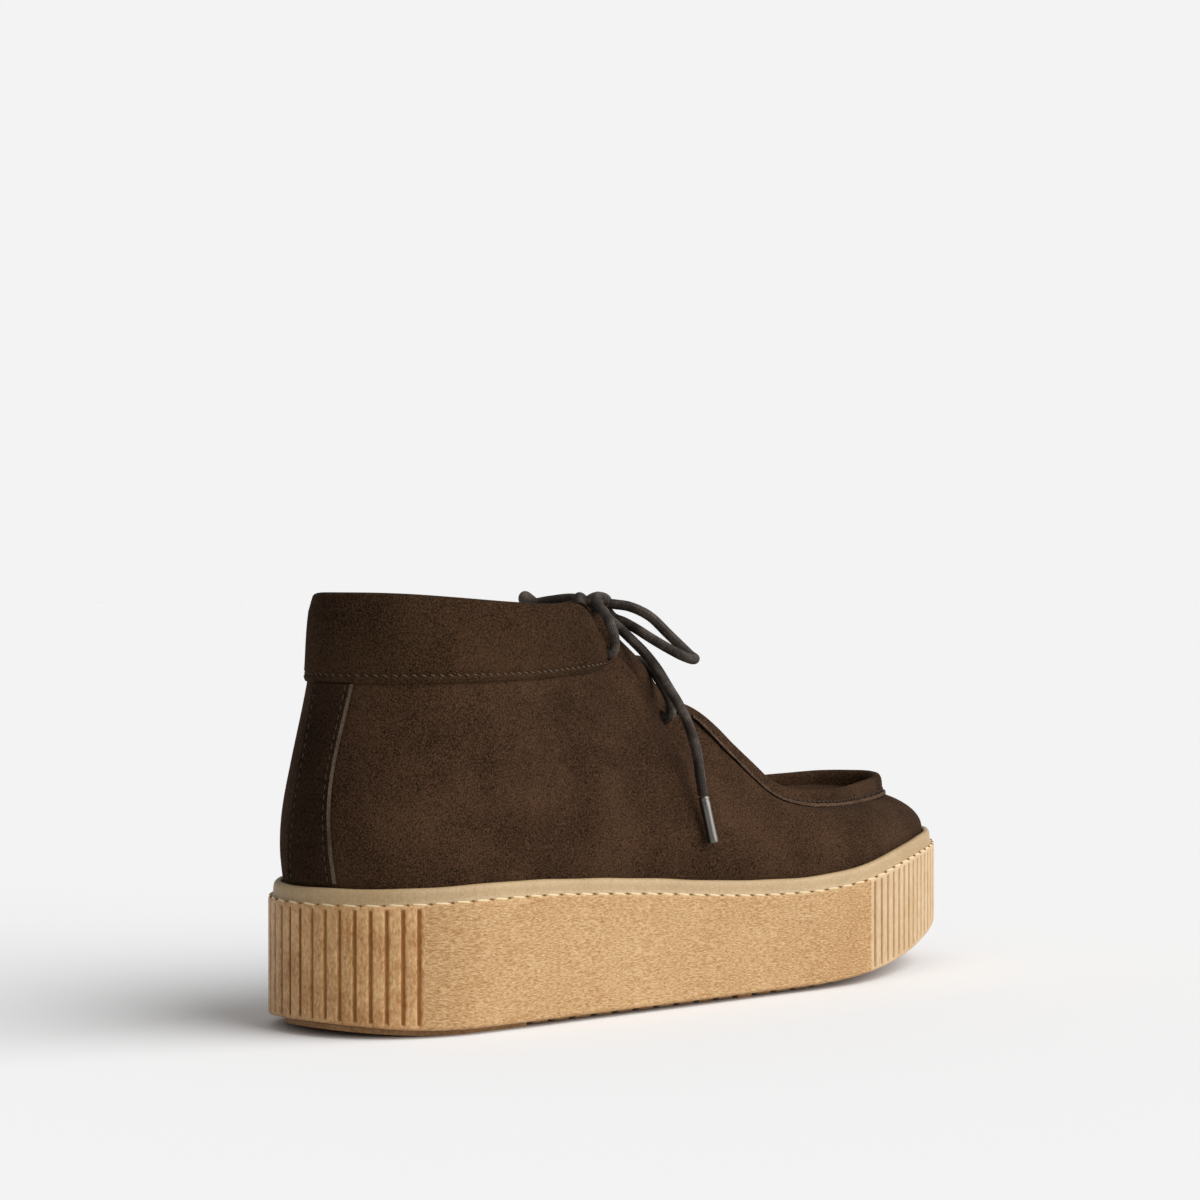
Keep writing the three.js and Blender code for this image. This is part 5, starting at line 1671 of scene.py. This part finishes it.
@dataclass
class Laces:
    """Round waxed lace: bar, legs, knot, loops, ends and metal tips."""

    shop: Workshop
    diameter: float = 3.3 * MM
    aglet_diameter: float = 3.6 * MM
    aglet_length: float = 15 * MM
    aglet_gap: float = 0.3 * MM
    braid_step: float = 2.4 * MM
    sides: int = 20
    aglet_sides: int = 24
    core_centre: tuple = (89 * MM, 0.3 * MM, 127.6 * MM)
    core_reach: tuple = (3.8 * MM, 3.4 * MM, 2.4 * MM)

    def build(self) -> None:
        """Builds every stretch of the lace."""
        bar = (LACE_BAR_HIDDEN, *LACE_BAR_HALF)
        far_bar = [(x, -y, z) for x, y, z in bar[::-1]]
        self.held_cord("lace_bar_cord", (*bar, LACE_BAR_CREST, *far_bar), "lace_bar")
        for side, node in ((Side.OUTER, "lace_leg_outer"), (Side.INNER, "lace_leg_inner")):
            self.held_cord(f"{node}_cord", [(x, side.value * y, z) for x, y, z in LACE_LEG], node)
        knot = self.build_knot()
        ends = (("outer", LACE_END_OUTER, AGLET_OUTER_END), ("inner", LACE_END_INNER, AGLET_INNER_END))
        aglets = [self.build_aglet(f"lace_tip_{word}", route[-1], tip, f"aglet_{word}")
                  for word, route, tip in ends]
        self.free_cord("lace_loop_outer_cord", LACE_LOOP_OUTER, "lace_loop_outer")
        self.free_cord("lace_loop_inner_cord", LACE_LOOP_INNER, "lace_loop_inner")
        for (word, route, _), aglet in zip(ends, aglets):
            self.free_cord(f"lace_end_{word}_cord", route, f"lace_end_{word}")

    def tube(self, sketch: Sketch, route: Sequence[Sequence[float]]) -> Array:
        """Adds a round cord along a route.

        Args:
            sketch: where its points and faces go.
            route: points in millimetres.

        Returns:
            The points that it follows, in metres.
        """
        path = curve_through(np.array(route) * MM, 8, False)
        tangent = unit(np.gradient(path, axis=0))
        side = unit(np.cross(tangent[0], (0, 0, 1)))
        rings = []
        for centre, ahead in zip(path, tangent):
            side = unit(side - ahead * np.dot(side, ahead))
            rings.append(centre + circle(self.sides, side, np.cross(ahead, side)) * self.diameter / 2)
        run = (run_of(path) / self.braid_step)[:, None]
        turn = np.arange(self.sides) / self.sides
        sketch.add_rings(np.stack(rings), False, 0, np.stack(np.broadcast_arrays(run, turn), axis=-1))
        return path

    def held_cord(self, name: str, route: Sequence[Sequence[float]], node: str) -> None:
        """Makes a stretch that the eyelets or the knot hold.

        Args:
            name: the piece's name.
            route: points in millimetres.
            node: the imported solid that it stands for.
        """
        sketch = Sketch()
        self.tube(sketch, route)
        self.shop.make(sketch, name, Slot.LACE, node, finishes=[Finish.LACE], sharp=60)

    def free_cord(self, name: str, route: Sequence[Sequence[float]], node: str) -> None:
        """Args:
            name: the piece's name.
            route: points in millimetres, from the knot outwards.
            node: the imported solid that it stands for.
        """
        sketch = Sketch()
        path = self.tube(sketch, route)
        piece = self.shop.make(sketch, name, Slot.LACE, node, finishes=[Finish.LACE], sharp=60)

    def build_knot(self) -> bpy.types.Object:
        """The knot: short turns of cord wound round each other over a core.

        Returns:
            The piece.
        """
        sketch = Sketch()
        for route in LACE_KNOT_TURNS:
            self.tube(sketch, route)
        turn = np.arange(16) / 16 * 2 * math.pi
        tilt = np.linspace(0.15, math.pi - 0.15, 9)[:, None]
        ball = np.stack(np.broadcast_arrays(
            np.sin(tilt) * np.cos(turn), np.sin(tilt) * np.sin(turn), np.cos(tilt)), axis=-1)
        sketch.add_rings(np.array(self.core_centre) + ball * np.array(self.core_reach), False)
        return self.shop.make(sketch, "lace_knot_cord", Slot.LACE, "lace_knot",
                              finishes=[Finish.LACE], sharp=60)

    def build_aglet(self, name: str, start: Sequence[float], tip: Sequence[float],
                    node: str) -> bpy.types.Object:
        """Crimped metal tube on a lace end, open at its tip.

        Args:
            name: the piece's name.
            start: end of the lace in millimetres.
            tip: a point that the tube runs to.
            node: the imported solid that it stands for.

        Returns:
            The piece.
        """
        profile = (
            (0, 0.8), (0.02, 0.93), (0.05, 0.97), (0.09, 0.9), (0.12, 0.97), (0.3, 0.95), (0.6, 0.93),
            (0.9, 0.95), (0.97, 0.97), (1, 0.93), (1, 0.74), (0.97, 0.7), (0.86, 0.66),
        )
        along = unit(np.array(tip) - np.array(start))
        foot = np.array(start) * MM + along * self.aglet_gap
        side = unit(np.cross(along, (0, 1, 0)))
        around_it = circle(self.aglet_sides, side, np.cross(along, side)) * self.aglet_diameter / 2
        rings = np.stack([foot + along * share * self.aglet_length + around_it * wide
                          for share, wide in profile])
        inside_from = len(profile) - 3
        sketch = Sketch()
        sketch.add_rings(rings, False, lambda section, _: int(section >= inside_from), caps=(0, 1))
        return self.shop.make(sketch, name, Slot.TIP, node,
                              finishes=[Finish.METAL, Finish.TUBE_INSIDE], sharp=30)


@dataclass
class Studio:
    """Camera at the photograph's angle, pale floor and soft light."""

    camera_at: tuple = (-0.68405, -0.72221, 0.13722)
    heading: float = 47.03
    dip: float = 0.449
    lens: float = 97.2
    sensor: float = 36.0
    pale: float = 0.896
    ambient: float = 0.42
    floor_shade: float = 0.762
    floor_half: float = 12.0
    key_spread: float = 78
    key_power: float = 4.35
    key_height: float = 33
    key_heading: float = 28

    def build(self) -> None:
        """Makes camera, floor, surround and light."""
        self.build_camera()
        self.build_floor()
        self.build_surround()
        self.build_key()

    def build_camera(self) -> None:
        """Camera, level but for a slight dip."""
        data = bpy.data.cameras.new("camera")
        data.lens = self.lens
        data.sensor_width = self.sensor
        data.clip_start = 0.01
        camera = new_object("camera", data)
        camera.location = self.camera_at
        camera.rotation_euler = (math.radians(90 - self.dip), 0, math.radians(-self.heading))
        bpy.context.scene.camera = camera

    def build_floor(self) -> None:
        """Wide pale floor."""
        half = self.floor_half
        corners = [(-half, -half, 0), (half, -half, 0), (half, half, 0), (-half, half, 0)]
        mesh = bpy.data.meshes.new("floor")
        mesh.from_pydata(corners, [], [(0, 1, 2, 3)])
        material = bpy.data.materials.new("pale_floor")
        material.use_nodes = True
        shader = material.node_tree.nodes["Principled BSDF"]
        shader.inputs["Base Color"].default_value = (*[self.floor_shade] * 3, 1)
        shader.inputs["Roughness"].default_value = 0.9
        shader.inputs["Specular IOR Level"].default_value = 0
        mesh.materials.append(material)
        new_object("floor", mesh)

    def build_surround(self) -> None:
        """Even surround: pale where the camera sees it, dimmer as a light."""
        world = bpy.data.worlds.new("surround")
        world.use_nodes = True
        tree = world.node_tree
        shade = tree.nodes["Background"]
        shade.inputs["Color"].default_value = (1, 1, 1, 1)
        seen = tree.nodes.new("ShaderNodeLightPath").outputs["Is Camera Ray"]
        brighter = math_node(tree, "MULTIPLY", seen, self.pale - self.ambient)
        tree.links.new(math_node(tree, "ADD", brighter, self.ambient), shade.inputs["Strength"])
        bpy.context.scene.world = world
        bpy.context.scene.view_settings.view_transform = "Standard"

    def build_key(self) -> None:
        """One wide soft light from the right of the camera."""
        data = bpy.data.lights.new("key", "SUN")
        data.angle = math.radians(self.key_spread)
        data.energy = self.key_power
        light = new_object("key", data)
        light.location = (1, -1, 1)
        light.rotation_euler = (math.radians(90 - self.key_height), 0, math.radians(self.key_heading))


def main() -> None:
    """Builds the studio and the boot, sub-assembly by sub-assembly."""
    logging.basicConfig(level=logging.INFO, format="%(name)s: %(message)s")
    Studio().build()
    shop = Workshop(BootForm())
    for part in (Laces(shop), Sole(shop), Upper(shop), Front(shop)):
        part.build()
        LOG.info("%s is done", type(part).__name__)


if __name__ == "__main__":
    main()
